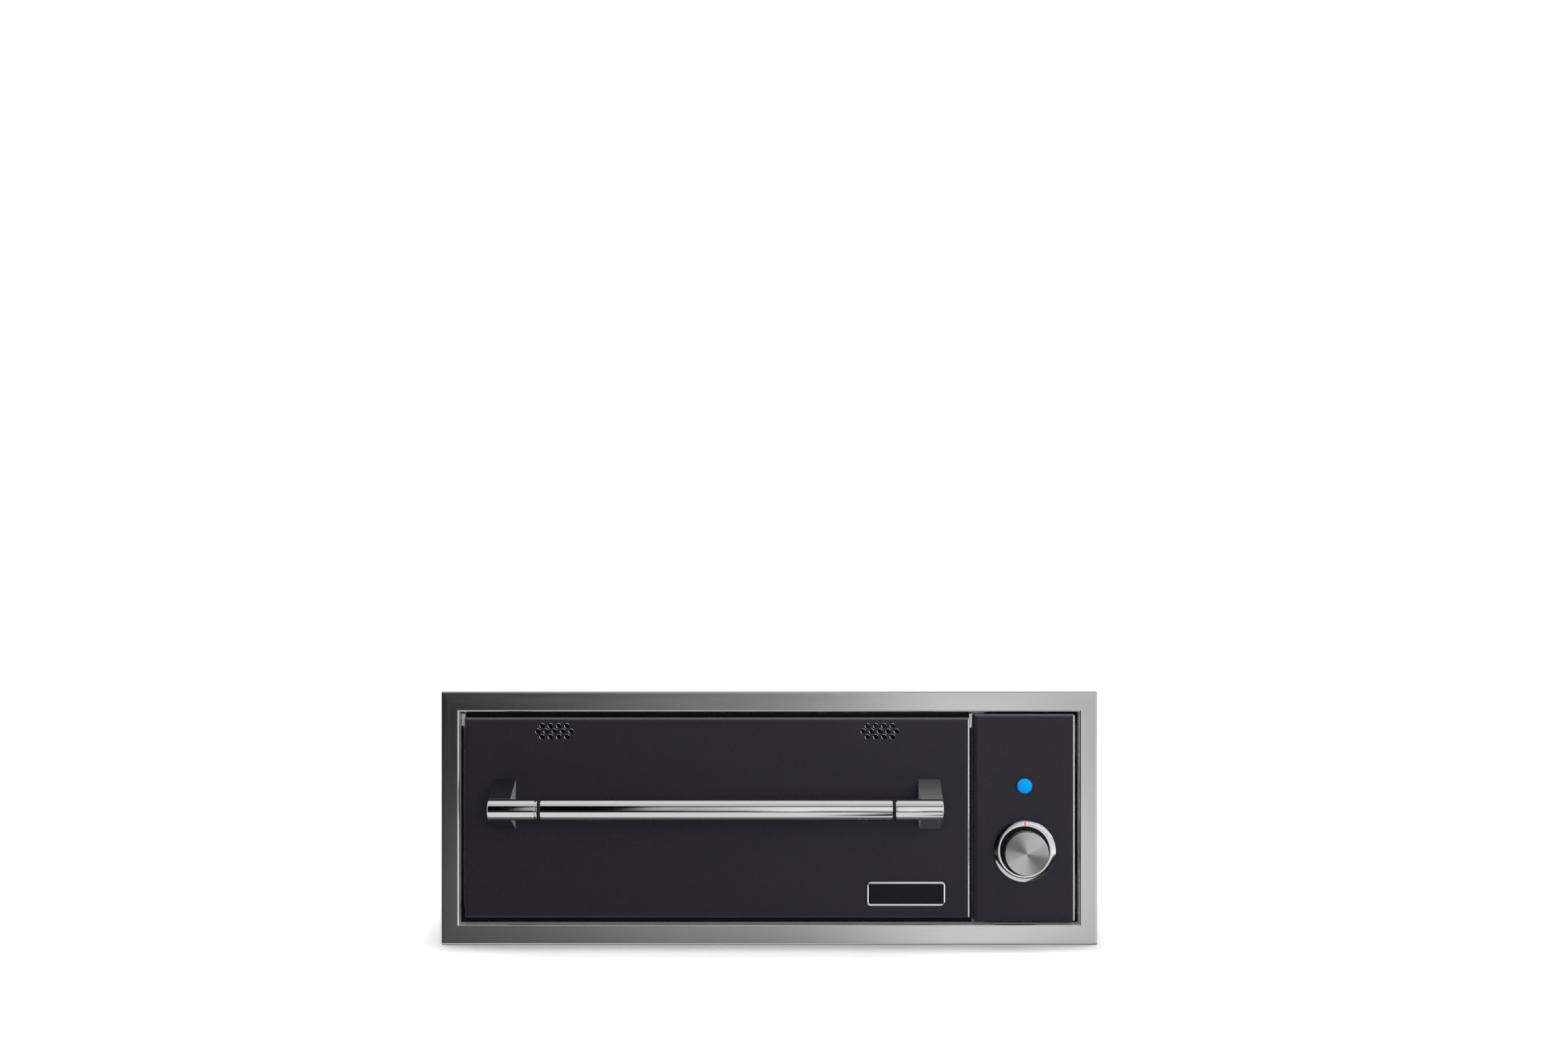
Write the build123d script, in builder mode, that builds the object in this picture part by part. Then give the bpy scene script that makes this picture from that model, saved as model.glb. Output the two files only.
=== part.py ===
from build123d import *
import math
import os

# Built-in warming drawer for an outdoor kitchen, 30-inch class. All sizes are in millimetres.
# X runs to the right as seen from the front, Y back into the cabinet and Z up.
# The origin is on the casing's underside, in the middle of its width, in the wall plane.

# Sides of small round outlines, drawn as polygons to keep the mesh light
wire_sides = 6
small_sides = 8
ring_sides = 24
turned_sides = 40

# Trim frame, folded from one sheet, standing off the wall
frame_width = 755.65
frame_height = 292.1
frame_depth = 16.0
side_face = 21.5
rail_face = 24.0
trim_sheet = 1.2
trim_bend = 2.4

# Outer casing with its lid and back cover; the frame laps over the cut-out on all sides
frame_overlap = 12.7
casing_depth = 571.5
casing_sheet = 1.2
casing_bend = 2.4
header_depth = 18.0
wall_setback = 2.0
fold_gap = 0.3
lid_sheet = 1.2
lid_flange = 12.0
back_sheet = 1.2
rear_lip = 14.0
mounting_hole_radius = 2.6
mounting_hole_depth = 8.0
side_hole_inset = 83.35

# Control panel at the right of the opening
panel_width = 116.8
panel_edge_gap = 4.3
panel_rail_gap = 2.55
panel_sheet = 1.2
panel_bend = 3.0
panel_lip = 11.0

# Drawer front: dark cover on a bright pan that holds the insulation
cover_panel_gap = 4.3
cover_edge_gap = 5.6
cover_rail_gap = 6.6
cover_depth = 8.0
cover_sheet = 1.2
cover_bend = 3.0
pan_depth = 22.0
pan_sheet = 1.0
pan_left_rim = 1.3
pan_right_rim = 2.3
ear_left = 2.9
ear_right = 0.5
ear_height = 14.0
inner_panel_sheet = 1.0

# Moisture vents and their shutters
vent_side_margin = 103.675
vent_top_margin = 15.45
vent_hole_radius = 2.6
vent_pitch = 9.55
vent_row_step = 6.3
vent_duct_width = 52.0
vent_duct_height = 24.0
duct_sheet = 0.8
shutter_sheet = 0.8
shutter_gap = 0.1
shutter_width = 92.0
shutter_height = 23.0
shutter_slot = 4.0
shutter_slot_height = 16.0
shutter_travel = 4.8
shutter_tab = 11.0
slot_columns = 5
rivet_radius = 2.0
rivet_head_radius = 4.0
rivet_head = 1.0
rivet_spread = 37.0

# Heated cavity, its insulation and the divider beside the controls
gasket_thickness = 2.0
gasket_width = 5.0
gasket_inset = 0.5
cavity_inset = 19.825
liner_sheet = 0.8
floor_insulation = 24.0
roof_insulation = 18.0
rear_insulation_depth = 24.0
insulation_setback = 2.0
partition_sheet = 1.2
partition_gap = 0.8
partition_leaf = 13.0
support_rail_width = 30.0
support_rail_foot = 12.0
support_rail_sheet = 1.5
support_rail_inset = 91.0

# Drawer tub and rack
tub_lift = 34.0
tub_headroom = 31.7
tub_rear_gap = 40.3
tub_sheet = 1.0
tub_bend = 5.0
tub_rim = 7.0
rack_gap = 8.0
rack_rise = 14.0
rack_frame_radius = 2.5
rack_wire_radius = 1.6
rack_corner = 18.0
rack_weld = 0.4
rack_wires = 9
rack_foot_spread = 0.5

# Telescopic slides, one at each side of the tub
slide_setback = 3.2
slide_rear_gap = 24.3
slide_height = 45.5
slide_thickness = 12.7
slide_sheet = 1.2
slide_rise = 79.0
slide_race_bite = 0.4
outer_ball_radius = 2.2
inner_ball_radius = 1.8
middle_shorter = 6.0
slide_overlap = 50.0
cage_slack = 55.0
cage_sheet = 0.6
cage_gap = 0.3
cage_margin = 17.5
ball_clearance = 0.05

# Handle
handle_inset = 33.225
handle_rise = 16.4
handle_standoff = 49.0
sleeve_length = 52.9
sleeve_radius = 11.8
tube_radius = 11.95
tube_wall = 1.5
spigot_length = 30.0
spigot_clearance = 0.05
end_dome = 1.4
ring_gap = 0.6
ring_width = 2.1
ring_radius = 11.2
o_ring_width = 3.5
o_ring_radius = 12.3
bracket_width = 24.5
bracket_base = 57.0
bracket_tip_gap = 2.0
saddle_clearance = 0.02
bolt_radius = 3.0
bolt_clearance = 0.3
bolt_bite = 12.0
bolt_end_gap = 1.0
bolt_spread = 17.0
bolt_head = 5.0
bolt_head_flats = 10.0
spacer_radius = 6.0
bolt_pocket = 14.0

# Knob, its bezel and the regulator behind them
control_rise = 37.3
bezel_radius = 34.75
bezel_inner_radius = 27.75
bezel_height = 6.0
bezel_edge = 0.8
knob_base_radius = 25.5
knob_face_radius = 24.75
knob_stand_out = 21.0
knob_gap = 1.5
knob_edge = 0.8
knob_skirt = 4.5
knob_recess = 6.5
shaft_radius = 3.0
shaft_flat = 1.8
shaft_fit = 0.03
shaft_bore_fit = 0.05
shaft_grip = 14.0
bushing_radius = 5.0
bushing_length = 5.2
bushing_clearance = 0.3
regulator_width = 42.0
regulator_height = 34.0
regulator_depth = 29.0
regulator_plate = 1.5
regulator_ear = 9.0
regulator_screw_spread = 14.0
regulator_screw_radius = 1.9
regulator_screw_head = 3.6
regulator_screw_head_height = 2.0
blade_width = 6.3
blade_length = 8.0
blade_sheet = 0.8
blade_pitch = 14.0
blade_row_step = 10.0

# Pilot lamp
lamp_ring_radius = 9.35
lamp_ring_height = 2.4
lamp_barrel_radius = 7.9
lamp_barrel_length = 26.0
lamp_clearance = 0.2
lens_radius = 8.2
lens_height = 3.2
lens_seat = 1.0
lens_fit = 0.05
lamp_nut_flats = 21.0
lamp_nut_height = 4.0

# Heater with its baffle
element_radius = 3.25
element_rise = 11.0
element_inset = 81.0
element_front_gap = 90.0
element_rear_gap = 60.0
element_bend = 30.0
element_leg_spread = 26.0
element_tail = 8.0
element_plate_sheet = 1.5
element_plate_width = 90.0
element_plate_height = 22.0
element_hole_clearance = 0.4
clip_width = 12.0
clip_depth = 9.0
clip_fit = 0.05
baffle_height = 24.0
baffle_sheet = 1.0
baffle_side_gap = 6.0
baffle_front_gap = 40.0
baffle_rear_gap = 45.0
baffle_slot_length = 60.0
baffle_slot_width = 8.0
baffle_slot_rows = 4
baffle_slot_columns = 4

# Temperature probe
bulb_radius = 3.0
bulb_length = 90.0
bulb_drop = 24.0
bulb_standoff = 11.0
bulb_inset = 62.0
capillary_radius = 1.1
capillary_bend = 24.0
capillary_hole_radius = 3.0
capillary_aisle = 27.0
capillary_turn_depth = 62.0
clip_sheet = 1.2
bulb_clip_width = 8.0
bulb_clip_fit = 0.1

# Supply inlet and wiring
inlet_height = 62.0
inlet_offset = 60.0
inlet_hole_radius = 11.0
inlet_bore_radius = 7.0
inlet_flange = 3.0
inlet_flange_height = 3.0
inlet_fit = 0.1
block_width = 62.0
block_depth = 26.0
block_height = 22.0
block_rear_gap = 70.0
block_base = 5.0
block_barrier = 3.0
block_poles = 3
loom_radius = 3.0
loom_rise = 48.0
loom_reach = 28.0
lead_radius = 1.6
lead_step = 5.0
lead_notch = 10.0

# Sheet screws that hold the covers and the panel
screw_radius = 1.9
screw_fit = 0.05
screw_head_flats = 7.0
screw_head = 2.4
lid_screw_inset = 75.75
panel_screw_inset = 32.0
panel_bracket_height = 40.0
louvre_width = 60.0
louvre_height = 4.0
louvre_step = 14.0
louvre_count = 5

# Edges of the opening and of the casing, worked out from the sizes above
casing_height = frame_height - 2 * frame_overlap
centre_z = casing_height / 2
flange_width = frame_width - 2 * (trim_sheet + fold_gap)
flange_height = frame_height - 2 * (trim_sheet + fold_gap)
opening_width = frame_width - 2 * side_face
opening_height = frame_height - 2 * rail_face
opening_right = opening_width / 2
opening_low = centre_z - opening_height / 2
opening_high = centre_z + opening_height / 2
front_face = -frame_depth
wall_right = opening_right + wall_setback
wall_left = -wall_right
casing_width = 2 * (wall_right + casing_sheet)
wall_top = casing_height - lid_sheet
lip_back = casing_depth - back_sheet
lip_front = lip_back - casing_sheet

# Edges of the control panel, the cover and the pan
panel_right = opening_right - panel_edge_gap
panel_left = panel_right - panel_width
panel_low = opening_low + panel_rail_gap
panel_high = opening_high - panel_rail_gap
panel_back = front_face + panel_sheet
cover_right = panel_left - cover_panel_gap
cover_left = -opening_right + cover_edge_gap
cover_low = opening_low + cover_rail_gap
cover_high = opening_high - cover_rail_gap
cover_centre = (cover_left + cover_right) / 2
cover_back = front_face + cover_depth
pan_left = cover_left - pan_left_rim
pan_right = cover_right + pan_right_rim
pan_back = cover_back + pan_depth
inner_panel_front = pan_back - inner_panel_sheet
vent_z = cover_high - vent_top_margin
vent_spread = (cover_right - cover_left) / 2 - vent_side_margin

# Edges of the cavity and of the divider
mouth = pan_back + gasket_thickness
cavity_left = cover_left + cavity_inset
cavity_right = cover_right - cavity_inset
cavity_low = casing_sheet + floor_insulation + liner_sheet
cavity_high = wall_top - roof_insulation - liner_sheet
cavity_back = lip_front - rear_insulation_depth - liner_sheet
liner_back = cavity_back + liner_sheet
partition_left = pan_right + ear_right + partition_gap
partition_right = partition_left + partition_sheet
insulation_left = wall_left + insulation_setback
insulation_front = mouth + liner_sheet

# Edges of the tub and places of the slides
tub_left = cavity_left + slide_thickness
tub_right = cavity_right - slide_thickness
tub_low = cavity_low + tub_lift
tub_high = cavity_high - tub_headroom
tub_back = cavity_back - tub_rear_gap
slide_front = insulation_front + slide_setback
slide_length = cavity_back - slide_rear_gap - slide_front
slide_z = cavity_low + slide_rise
drawer_travel = slide_length - slide_overlap
cage_length = slide_length - drawer_travel / 2 - cage_slack

# Handle, knob and lamp axes
handle_y = front_face - handle_standoff
handle_z = centre_z + handle_rise
left_groove = ring_gap + ring_width + o_ring_width
right_groove = ring_gap + o_ring_width
spigot_radius = tube_radius - tube_wall - spigot_clearance
control_x = (panel_left + panel_right) / 2
knob_z = centre_z - control_rise
lamp_z = centre_z + control_rise
bezel_front = front_face - bezel_height
knob_face = bezel_front - knob_stand_out
knob_back = front_face - knob_gap


def upright(y):
    """Plane facing the viewer, y behind the wall plane: + comes forward, - goes back."""
    return Plane.XZ.offset(-y)


def level(z):
    """Level plane at the height z."""
    return Plane.XY.offset(z)


def sheet_between(left, right, low, high, corner=0.0, mode=Mode.ADD):
    """Rectangle in the open sketch, given by its edges, with rounded corners where asked."""
    width = abs(right - left)
    height = abs(high - low)
    with Locations(((left + right) / 2, (low + high) / 2)):
        if corner > 0:
            RectangleRounded(width, height, corner, mode=mode)
        else:
            Rectangle(width, height, mode=mode)


def few_sided(radius, mode=Mode.ADD):
    """Small round outline in the open sketch, drawn with few sides to keep the mesh light."""
    RegularPolygon(radius, small_sides, mode=mode)


def screw_outline(clearance=0.0, mode=Mode.ADD):
    """Outline of a sheet screw's shank, or of its hole, in the open sketch."""
    RegularPolygon(screw_radius + clearance, wire_sides, mode=mode)


def bent_route(points, radii):
    """Route through the points whose right-angled corners are each bent in two chords."""
    corners = [Vector(point) for point in points]
    route = [corners[0]]
    for before, corner, after, radius in zip(corners, corners[1:], corners[2:], radii):
        arriving = (corner - before).normalized()
        leaving = (after - corner).normalized()
        route.append(corner - arriving * radius)
        route.append(corner + (leaving - arriving) * radius * (1 - math.cos(math.pi / 4)))
        route.append(corner + leaving * radius)
    route.append(corners[-1])
    return route


def vent_points():
    """Centres of one vent group's holes about its middle: rows of four, five and four."""
    rows = ((-1, 4), (0, 5), (1, 4))
    return [
        ((place - (count - 1) / 2) * vent_pitch, row * vent_row_step)
        for row, count in rows
        for place in range(count)
    ]


os.makedirs("parts", exist_ok=True)

# ---------------------------------------------------------------- trim frame and casing

# Picture-frame trim, folded to a channel that is open behind
with BuildPart() as trim_frame:
    with BuildSketch(upright(0)):
        with Locations((0, centre_z)):
            Rectangle(frame_width, frame_height)
            Rectangle(opening_width, opening_height, mode=Mode.SUBTRACT)
    extrude(amount=frame_depth)
    fillet(trim_frame.faces().sort_by(Axis.Y)[0].edges(), trim_bend)
    with BuildSketch(upright(0)):
        with Locations((0, centre_z)):
            Rectangle(frame_width - 2 * trim_sheet, frame_height - 2 * trim_sheet)
            Rectangle(
                opening_width + 2 * trim_sheet,
                opening_height + 2 * trim_sheet,
                mode=Mode.SUBTRACT,
            )
    extrude(amount=frame_depth - trim_sheet, mode=Mode.SUBTRACT)
    # the inner return stops short, on the casing's flange
    with BuildSketch(upright(0)):
        with Locations((0, centre_z)):
            Rectangle(opening_width + 3 * trim_sheet, opening_height + 3 * trim_sheet)
    extrude(amount=casing_sheet, mode=Mode.SUBTRACT)
trim_frame.part.label = "trim_frame"
export_step(trim_frame.part, "parts/trim_frame.step")

# Screws of the back cover, as seen from the front, and of the lid's sides
side_screw_x = wall_right - rear_lip / 2
screw_heights = [rear_lip * 1.5, wall_top - rear_lip * 1.5]
back_screw_points = [
    *[(x, z) for x in (-side_screw_x, side_screw_x) for z in screw_heights],
    *[(x, wall_top - lid_flange / 2) for x in (-casing_width / 4, casing_width / 4)],
    *[(x, rear_lip / 2) for x in (-casing_width / 4, casing_width / 4)],
]
lid_screw_y = casing_depth / 2
lid_screw_spacing = casing_depth - 2 * lid_screw_inset
lid_screw_z = wall_top - lid_flange / 2

# Floor and side walls in one folded sheet, with a lip that runs in to the opening
with BuildPart() as outer_casing:
    with BuildSketch(upright(-casing_sheet)) as casing_outline:
        sheet_between(-casing_width / 2, casing_width / 2, 0, casing_height)
        fillet(casing_outline.vertices().group_by(Axis.Y)[0], casing_bend)
    extrude(amount=-(lip_back + casing_sheet))
    with BuildSketch(upright(-casing_sheet)) as casing_room:
        sheet_between(wall_left, wall_right, casing_sheet, wall_top)
        fillet(casing_room.vertices().group_by(Axis.Y)[0], casing_bend - casing_sheet)
    extrude(amount=-(lip_front + casing_sheet), mode=Mode.SUBTRACT)
    # the roof is left out behind the header, for the lid
    with BuildSketch(upright(header_depth)):
        sheet_between(-casing_width / 2, casing_width / 2, wall_top, casing_height)
    extrude(amount=-(lip_back - header_depth), mode=Mode.SUBTRACT)
    with BuildSketch(upright(lip_back)):
        sheet_between(wall_left + rear_lip, wall_right - rear_lip, rear_lip, wall_top)
        sheet_between(wall_left, wall_right, wall_top - lid_flange, wall_top)
        with Locations(*back_screw_points):
            screw_outline(screw_fit)
    extrude(amount=casing_sheet, mode=Mode.SUBTRACT)
    with BuildSketch(upright(0)) as mouth_lip:
        sheet_between(-casing_width / 2, casing_width / 2, 0, casing_height)
        fillet(mouth_lip.vertices().group_by(Axis.Y)[0], casing_bend)
        with Locations((0, centre_z)):
            Rectangle(opening_width, opening_height, mode=Mode.SUBTRACT)
    extrude(amount=casing_sheet)
    # the fold under the mouth is eased, so the underside is flat up to the wall's face
    with BuildSketch(Plane.YZ.offset(-casing_width / 2)):
        with BuildLine():
            Polyline((-casing_sheet, 0), (0, 0), (-casing_sheet, casing_sheet), close=True)
        make_face()
    extrude(amount=casing_width, mode=Mode.SUBTRACT)
    # holes for the screws that hold the casing in its cut-out
    with Locations(Plane.YZ.offset(-casing_width / 2)):
        with Locations((mounting_hole_depth, centre_z)):
            with GridLocations(1, casing_height - 2 * side_hole_inset, 1, 2):
                Cylinder(mounting_hole_radius, 3 * casing_width, mode=Mode.SUBTRACT)
    with BuildSketch(Plane.YZ.offset(-casing_width / 2)):
        with Locations((lid_screw_y, lid_screw_z)):
            with GridLocations(lid_screw_spacing, 1, 2, 1):
                screw_outline(screw_fit)
    extrude(amount=casing_width, mode=Mode.SUBTRACT)
outer_casing.part.label = "outer_casing"
export_step(outer_casing.part, "parts/outer_casing.step")

# Flange welded round the casing's mouth, which lies on the wall behind the trim
with BuildPart() as mounting_flange:
    with BuildSketch(upright(0)):
        with Locations((0, centre_z)):
            Rectangle(flange_width, flange_height)
    extrude(amount=casing_sheet)
    with BuildSketch(upright(0)) as casing_hole:
        sheet_between(-casing_width / 2, casing_width / 2, 0, casing_height)
        fillet(casing_hole.vertices().group_by(Axis.Y)[0], casing_bend)
    extrude(amount=casing_sheet, mode=Mode.SUBTRACT)
mounting_flange.part.label = "mounting_flange"
export_step(mounting_flange.part, "parts/mounting_flange.step")

# Lid with turned-down sides inside the walls and a turned-down rear edge
lid_flange_front = slide_front
lid_edge = wall_right - fold_gap
with BuildPart() as top_cover:
    with BuildSketch(level(wall_top)):
        sheet_between(-casing_width / 2, casing_width / 2, header_depth + fold_gap, lip_back)
    extrude(amount=lid_sheet)
    with BuildSketch(level(wall_top)):
        sheet_between(-lid_edge, lid_edge, lid_flange_front, lip_back)
        sheet_between(
            -lid_edge + lid_sheet,
            lid_edge - lid_sheet,
            lid_flange_front,
            lip_back - lid_sheet,
            mode=Mode.SUBTRACT,
        )
    extrude(amount=-lid_flange)
    with BuildSketch(upright(lip_back)):
        with Locations(*back_screw_points):
            screw_outline(screw_fit)
    extrude(amount=lid_sheet, mode=Mode.SUBTRACT)
    with BuildSketch(Plane.YZ.offset(-casing_width / 2)):
        with Locations((lid_screw_y, lid_screw_z)):
            with GridLocations(lid_screw_spacing, 1, 2, 1):
                screw_outline(screw_fit)
    extrude(amount=casing_width, mode=Mode.SUBTRACT)
top_cover.part.label = "top_cover"
export_step(top_cover.part, "parts/top_cover.step")

# Back cover on the rear lips, with the supply hole and louvres behind the controls
inlet_x = wall_right - inlet_offset
louvre_low = centre_z - (louvre_count - 1) * louvre_step / 2 + louvre_step
with BuildPart() as back_cover:
    with BuildSketch(upright(casing_depth)):
        sheet_between(
            -casing_width / 2 + casing_sheet,
            casing_width / 2 - casing_sheet,
            casing_sheet,
            casing_height - casing_sheet,
        )
        with Locations((inlet_x, inlet_height)):
            few_sided(inlet_hole_radius, mode=Mode.SUBTRACT)
        with Locations(*back_screw_points):
            screw_outline(screw_fit, mode=Mode.SUBTRACT)
        with Locations(*[(inlet_x, louvre_low + row * louvre_step) for row in range(louvre_count)]):
            Rectangle(louvre_width, louvre_height, mode=Mode.SUBTRACT)
    extrude(amount=back_sheet)
    # hoods pressed outwards over the louvres
    with BuildSketch(Plane.YZ.offset(inlet_x - louvre_width / 2)):
        for row in range(louvre_count):
            hood_z = louvre_low + row * louvre_step + louvre_height / 2
            with BuildLine():
                Polyline(
                    (casing_depth, hood_z),
                    (casing_depth + louvre_height, hood_z - louvre_height),
                    (casing_depth + louvre_height, hood_z - louvre_height + back_sheet),
                    (casing_depth, hood_z + 1.5 * back_sheet),
                    close=True,
                )
            make_face()
    extrude(amount=louvre_width)
back_cover.part.label = "back_cover"
export_step(back_cover.part, "parts/back_cover.step")

# ---------------------------------------------------------------- cavity and insulation

element_z = cavity_low + element_rise
bulb_y = cavity_back - bulb_standoff
bulb_z = cavity_high - bulb_drop

# Stainless liner, an open box with a flange that carries the gasket
with BuildPart() as inner_liner:
    with BuildSketch(upright(mouth)):
        sheet_between(
            cavity_left - liner_sheet,
            cavity_right + liner_sheet,
            cavity_low - liner_sheet,
            cavity_high + liner_sheet,
        )
    extrude(amount=-(liner_back - mouth))
    with BuildSketch(upright(mouth)):
        sheet_between(insulation_left, partition_left, casing_sheet, wall_top)
    extrude(amount=-liner_sheet)
    with BuildSketch(upright(mouth)):
        sheet_between(cavity_left, cavity_right, cavity_low, cavity_high)
    extrude(amount=-(cavity_back - mouth), mode=Mode.SUBTRACT)
    # holes for the heater's two legs and for the probe
    with BuildSketch(upright(cavity_back)):
        with Locations((cover_centre, element_z)):
            with GridLocations(2 * element_leg_spread, 1, 2, 1):
                few_sided(element_radius + element_hole_clearance)
    extrude(amount=-2 * liner_sheet, mode=Mode.SUBTRACT)
    with BuildSketch(Plane.YZ.offset(cavity_right)):
        with Locations((bulb_y, bulb_z)):
            few_sided(capillary_hole_radius)
    extrude(amount=2 * liner_sheet, mode=Mode.SUBTRACT)
inner_liner.part.label = "inner_liner"
export_step(inner_liner.part, "parts/inner_liner.step")

# Two hat-section rails that carry the liner off the casing's floor
rail_places = [cavity_left + support_rail_inset, cavity_right - support_rail_inset]
rail_top = cavity_low - liner_sheet
rail_front = insulation_front
rail_base_width = support_rail_width + 2 * support_rail_foot
with BuildPart() as liner_support_rails:
    with BuildSketch(upright(rail_front)):
        for rail_x in rail_places:
            half = support_rail_width / 2
            sheet_between(rail_x - half, rail_x + half, casing_sheet, rail_top)
            sheet_between(
                rail_x - half + support_rail_sheet,
                rail_x + half - support_rail_sheet,
                casing_sheet,
                rail_top - support_rail_sheet,
                mode=Mode.SUBTRACT,
            )
            for foot in (-1, 1):
                sheet_between(
                    rail_x + foot * half,
                    rail_x + foot * (half + support_rail_foot),
                    casing_sheet,
                    casing_sheet + support_rail_sheet,
                )
    extrude(amount=-(liner_back - rail_front))
liner_support_rails.part.label = "liner_support_rails"
export_step(liner_support_rails.part, "parts/liner_support_rails.step")

# Mineral wool under the cavity, cut round the two rails
wool_edge = partition_left - fold_gap
with BuildPart() as base_insulation:
    with BuildSketch(upright(insulation_front)):
        sheet_between(insulation_left, wool_edge, casing_sheet, rail_top)
        for rail_x in rail_places:
            sheet_between(
                rail_x - rail_base_width / 2 - fold_gap,
                rail_x + rail_base_width / 2 + fold_gap,
                casing_sheet,
                rail_top,
                mode=Mode.SUBTRACT,
            )
    extrude(amount=-(liner_back - insulation_front))
base_insulation.part.label = "base_insulation"
export_step(base_insulation.part, "parts/base_insulation.step")

# Mineral wool bent over both sides and the roof of the cavity
with BuildPart() as wrap_insulation:
    with BuildSketch(upright(insulation_front)):
        sheet_between(insulation_left, wool_edge, rail_top, wall_top)
        sheet_between(
            cavity_left - liner_sheet,
            cavity_right + liner_sheet,
            rail_top,
            cavity_high + liner_sheet,
            mode=Mode.SUBTRACT,
        )
    extrude(amount=-(liner_back - insulation_front))
    with BuildSketch(Plane.YZ.offset(cavity_right)):
        with Locations((bulb_y, bulb_z)):
            few_sided(capillary_hole_radius)
    extrude(amount=partition_left - cavity_right, mode=Mode.SUBTRACT)
wrap_insulation.part.label = "wrap_insulation"
export_step(wrap_insulation.part, "parts/wrap_insulation.step")

# Mineral wool behind the cavity, with a window for the heater's terminals
window_half = element_plate_width / 2
window_low = cavity_low
window_high = element_z + element_plate_height
with BuildPart() as rear_insulation:
    with BuildSketch(upright(liner_back)):
        sheet_between(insulation_left, wool_edge, casing_sheet + fold_gap, wall_top - fold_gap)
        sheet_between(
            cover_centre - window_half,
            wool_edge,
            window_low,
            window_high,
            mode=Mode.SUBTRACT,
        )
    extrude(amount=-rear_insulation_depth)
rear_insulation.part.label = "rear_insulation"
export_step(rear_insulation.part, "parts/rear_insulation.step")

# Screws that hold the panel's two lips, as seen from the front
panel_screw_heights = (panel_low + panel_screw_inset, panel_high - panel_screw_inset)
panel_screw_points = [
    (x, z)
    for x in (panel_left + panel_lip / 2, panel_right - panel_lip / 2)
    for z in panel_screw_heights
]

# Divider between the heated side and the controls, with a leaf that the panel is screwed to
lead_run = liner_back + element_tail + lead_step
with BuildPart() as control_partition:
    with BuildSketch(level(casing_sheet)):
        sheet_between(partition_left, partition_right, 0, lip_front)
    extrude(amount=wall_top - casing_sheet)
    with BuildSketch(level(opening_low)):
        sheet_between(partition_left, partition_right + partition_leaf, 0, partition_sheet)
    extrude(amount=opening_height)
    with BuildSketch(upright(insulation_front)):
        for foot_low in (casing_sheet, wall_top - partition_sheet):
            sheet_between(
                partition_right,
                partition_right + partition_leaf,
                foot_low,
                foot_low + partition_sheet,
            )
    extrude(amount=-(liner_back - insulation_front))
    with BuildSketch(Plane.YZ.offset(partition_left)):
        with Locations((bulb_y, bulb_z)):
            few_sided(capillary_hole_radius)
        with Locations((lead_run, element_z)):
            Rectangle(4 * lead_step, lead_notch)
    extrude(amount=partition_sheet, mode=Mode.SUBTRACT)
    with BuildSketch(upright(0)):
        with Locations(*panel_screw_points):
            screw_outline(screw_fit)
    extrude(amount=-partition_sheet, mode=Mode.SUBTRACT)
control_partition.part.label = "control_partition"
export_step(control_partition.part, "parts/control_partition.step")

# Silicone seal on the liner's flange, closed by the drawer's inner panel
with BuildPart() as door_gasket:
    with BuildSketch(upright(mouth)):
        sheet_between(
            pan_left + gasket_inset,
            pan_right - gasket_inset,
            panel_low + gasket_inset,
            panel_high - gasket_inset,
        )
        sheet_between(
            pan_left + gasket_inset + gasket_width,
            pan_right - gasket_inset - gasket_width,
            panel_low + gasket_inset + gasket_width,
            panel_high - gasket_inset - gasket_width,
            mode=Mode.SUBTRACT,
        )
    extrude(amount=gasket_thickness)
door_gasket.part.label = "door_gasket"
export_step(door_gasket.part, "parts/door_gasket.step")

# ---------------------------------------------------------------- heater and probe

# Sheathed element: a loop on the cavity's floor whose legs leave through the rear wall
loop_left = cavity_left + element_inset
loop_right = cavity_right - element_inset
loop_width = loop_right - loop_left
loop_front = insulation_front + element_front_gap
loop_back = cavity_back - element_rear_gap
leg_left = cover_centre - element_leg_spread
leg_right = cover_centre + element_leg_spread
leg_end = liner_back + element_tail
leg_bend = element_leg_spread - element_radius
element_corners = [
    (leg_left, leg_end, element_z),
    (leg_left, loop_back, element_z),
    (loop_left, loop_back, element_z),
    (loop_left, loop_front, element_z),
    (loop_right, loop_front, element_z),
    (loop_right, loop_back, element_z),
    (leg_right, loop_back, element_z),
    (leg_right, leg_end, element_z),
]
element_bends = [leg_bend, *[element_bend] * 4, leg_bend]
with BuildPart() as heating_element:
    with BuildLine() as element_path:
        Polyline(*bent_route(element_corners, element_bends))
    with BuildSketch(Plane(origin=element_path.line @ 0, z_dir=element_path.line % 0)):
        RegularPolygon(element_radius, wire_sides)
    sweep(transition=Transition.RIGHT)
    with BuildSketch(upright(cavity_back)):
        with Locations((cover_centre, element_z)):
            Rectangle(element_plate_width, element_plate_height)
    extrude(amount=element_plate_sheet)
heating_element.part.label = "heating_element"
export_step(heating_element.part, "parts/heating_element.step")

# Three saddles that hold the element off the floor
clip_places = [
    (loop_left + loop_width / 4, loop_front),
    (cover_centre, loop_front),
    (loop_right - loop_width / 4, loop_front),
]
with BuildPart() as element_clips:
    with BuildSketch(level(cavity_low)):
        with Locations(*clip_places):
            Rectangle(clip_width, clip_depth)
    extrude(amount=element_rise)
    with BuildSketch(Plane.YZ.offset(loop_left)):
        with Locations((loop_front, element_z)):
            RegularPolygon(element_radius + clip_fit, wire_sides, major_radius=False)
    extrude(amount=loop_width, mode=Mode.SUBTRACT)
element_clips.part.label = "element_clips"
export_step(element_clips.part, "parts/element_clips.step")

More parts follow.
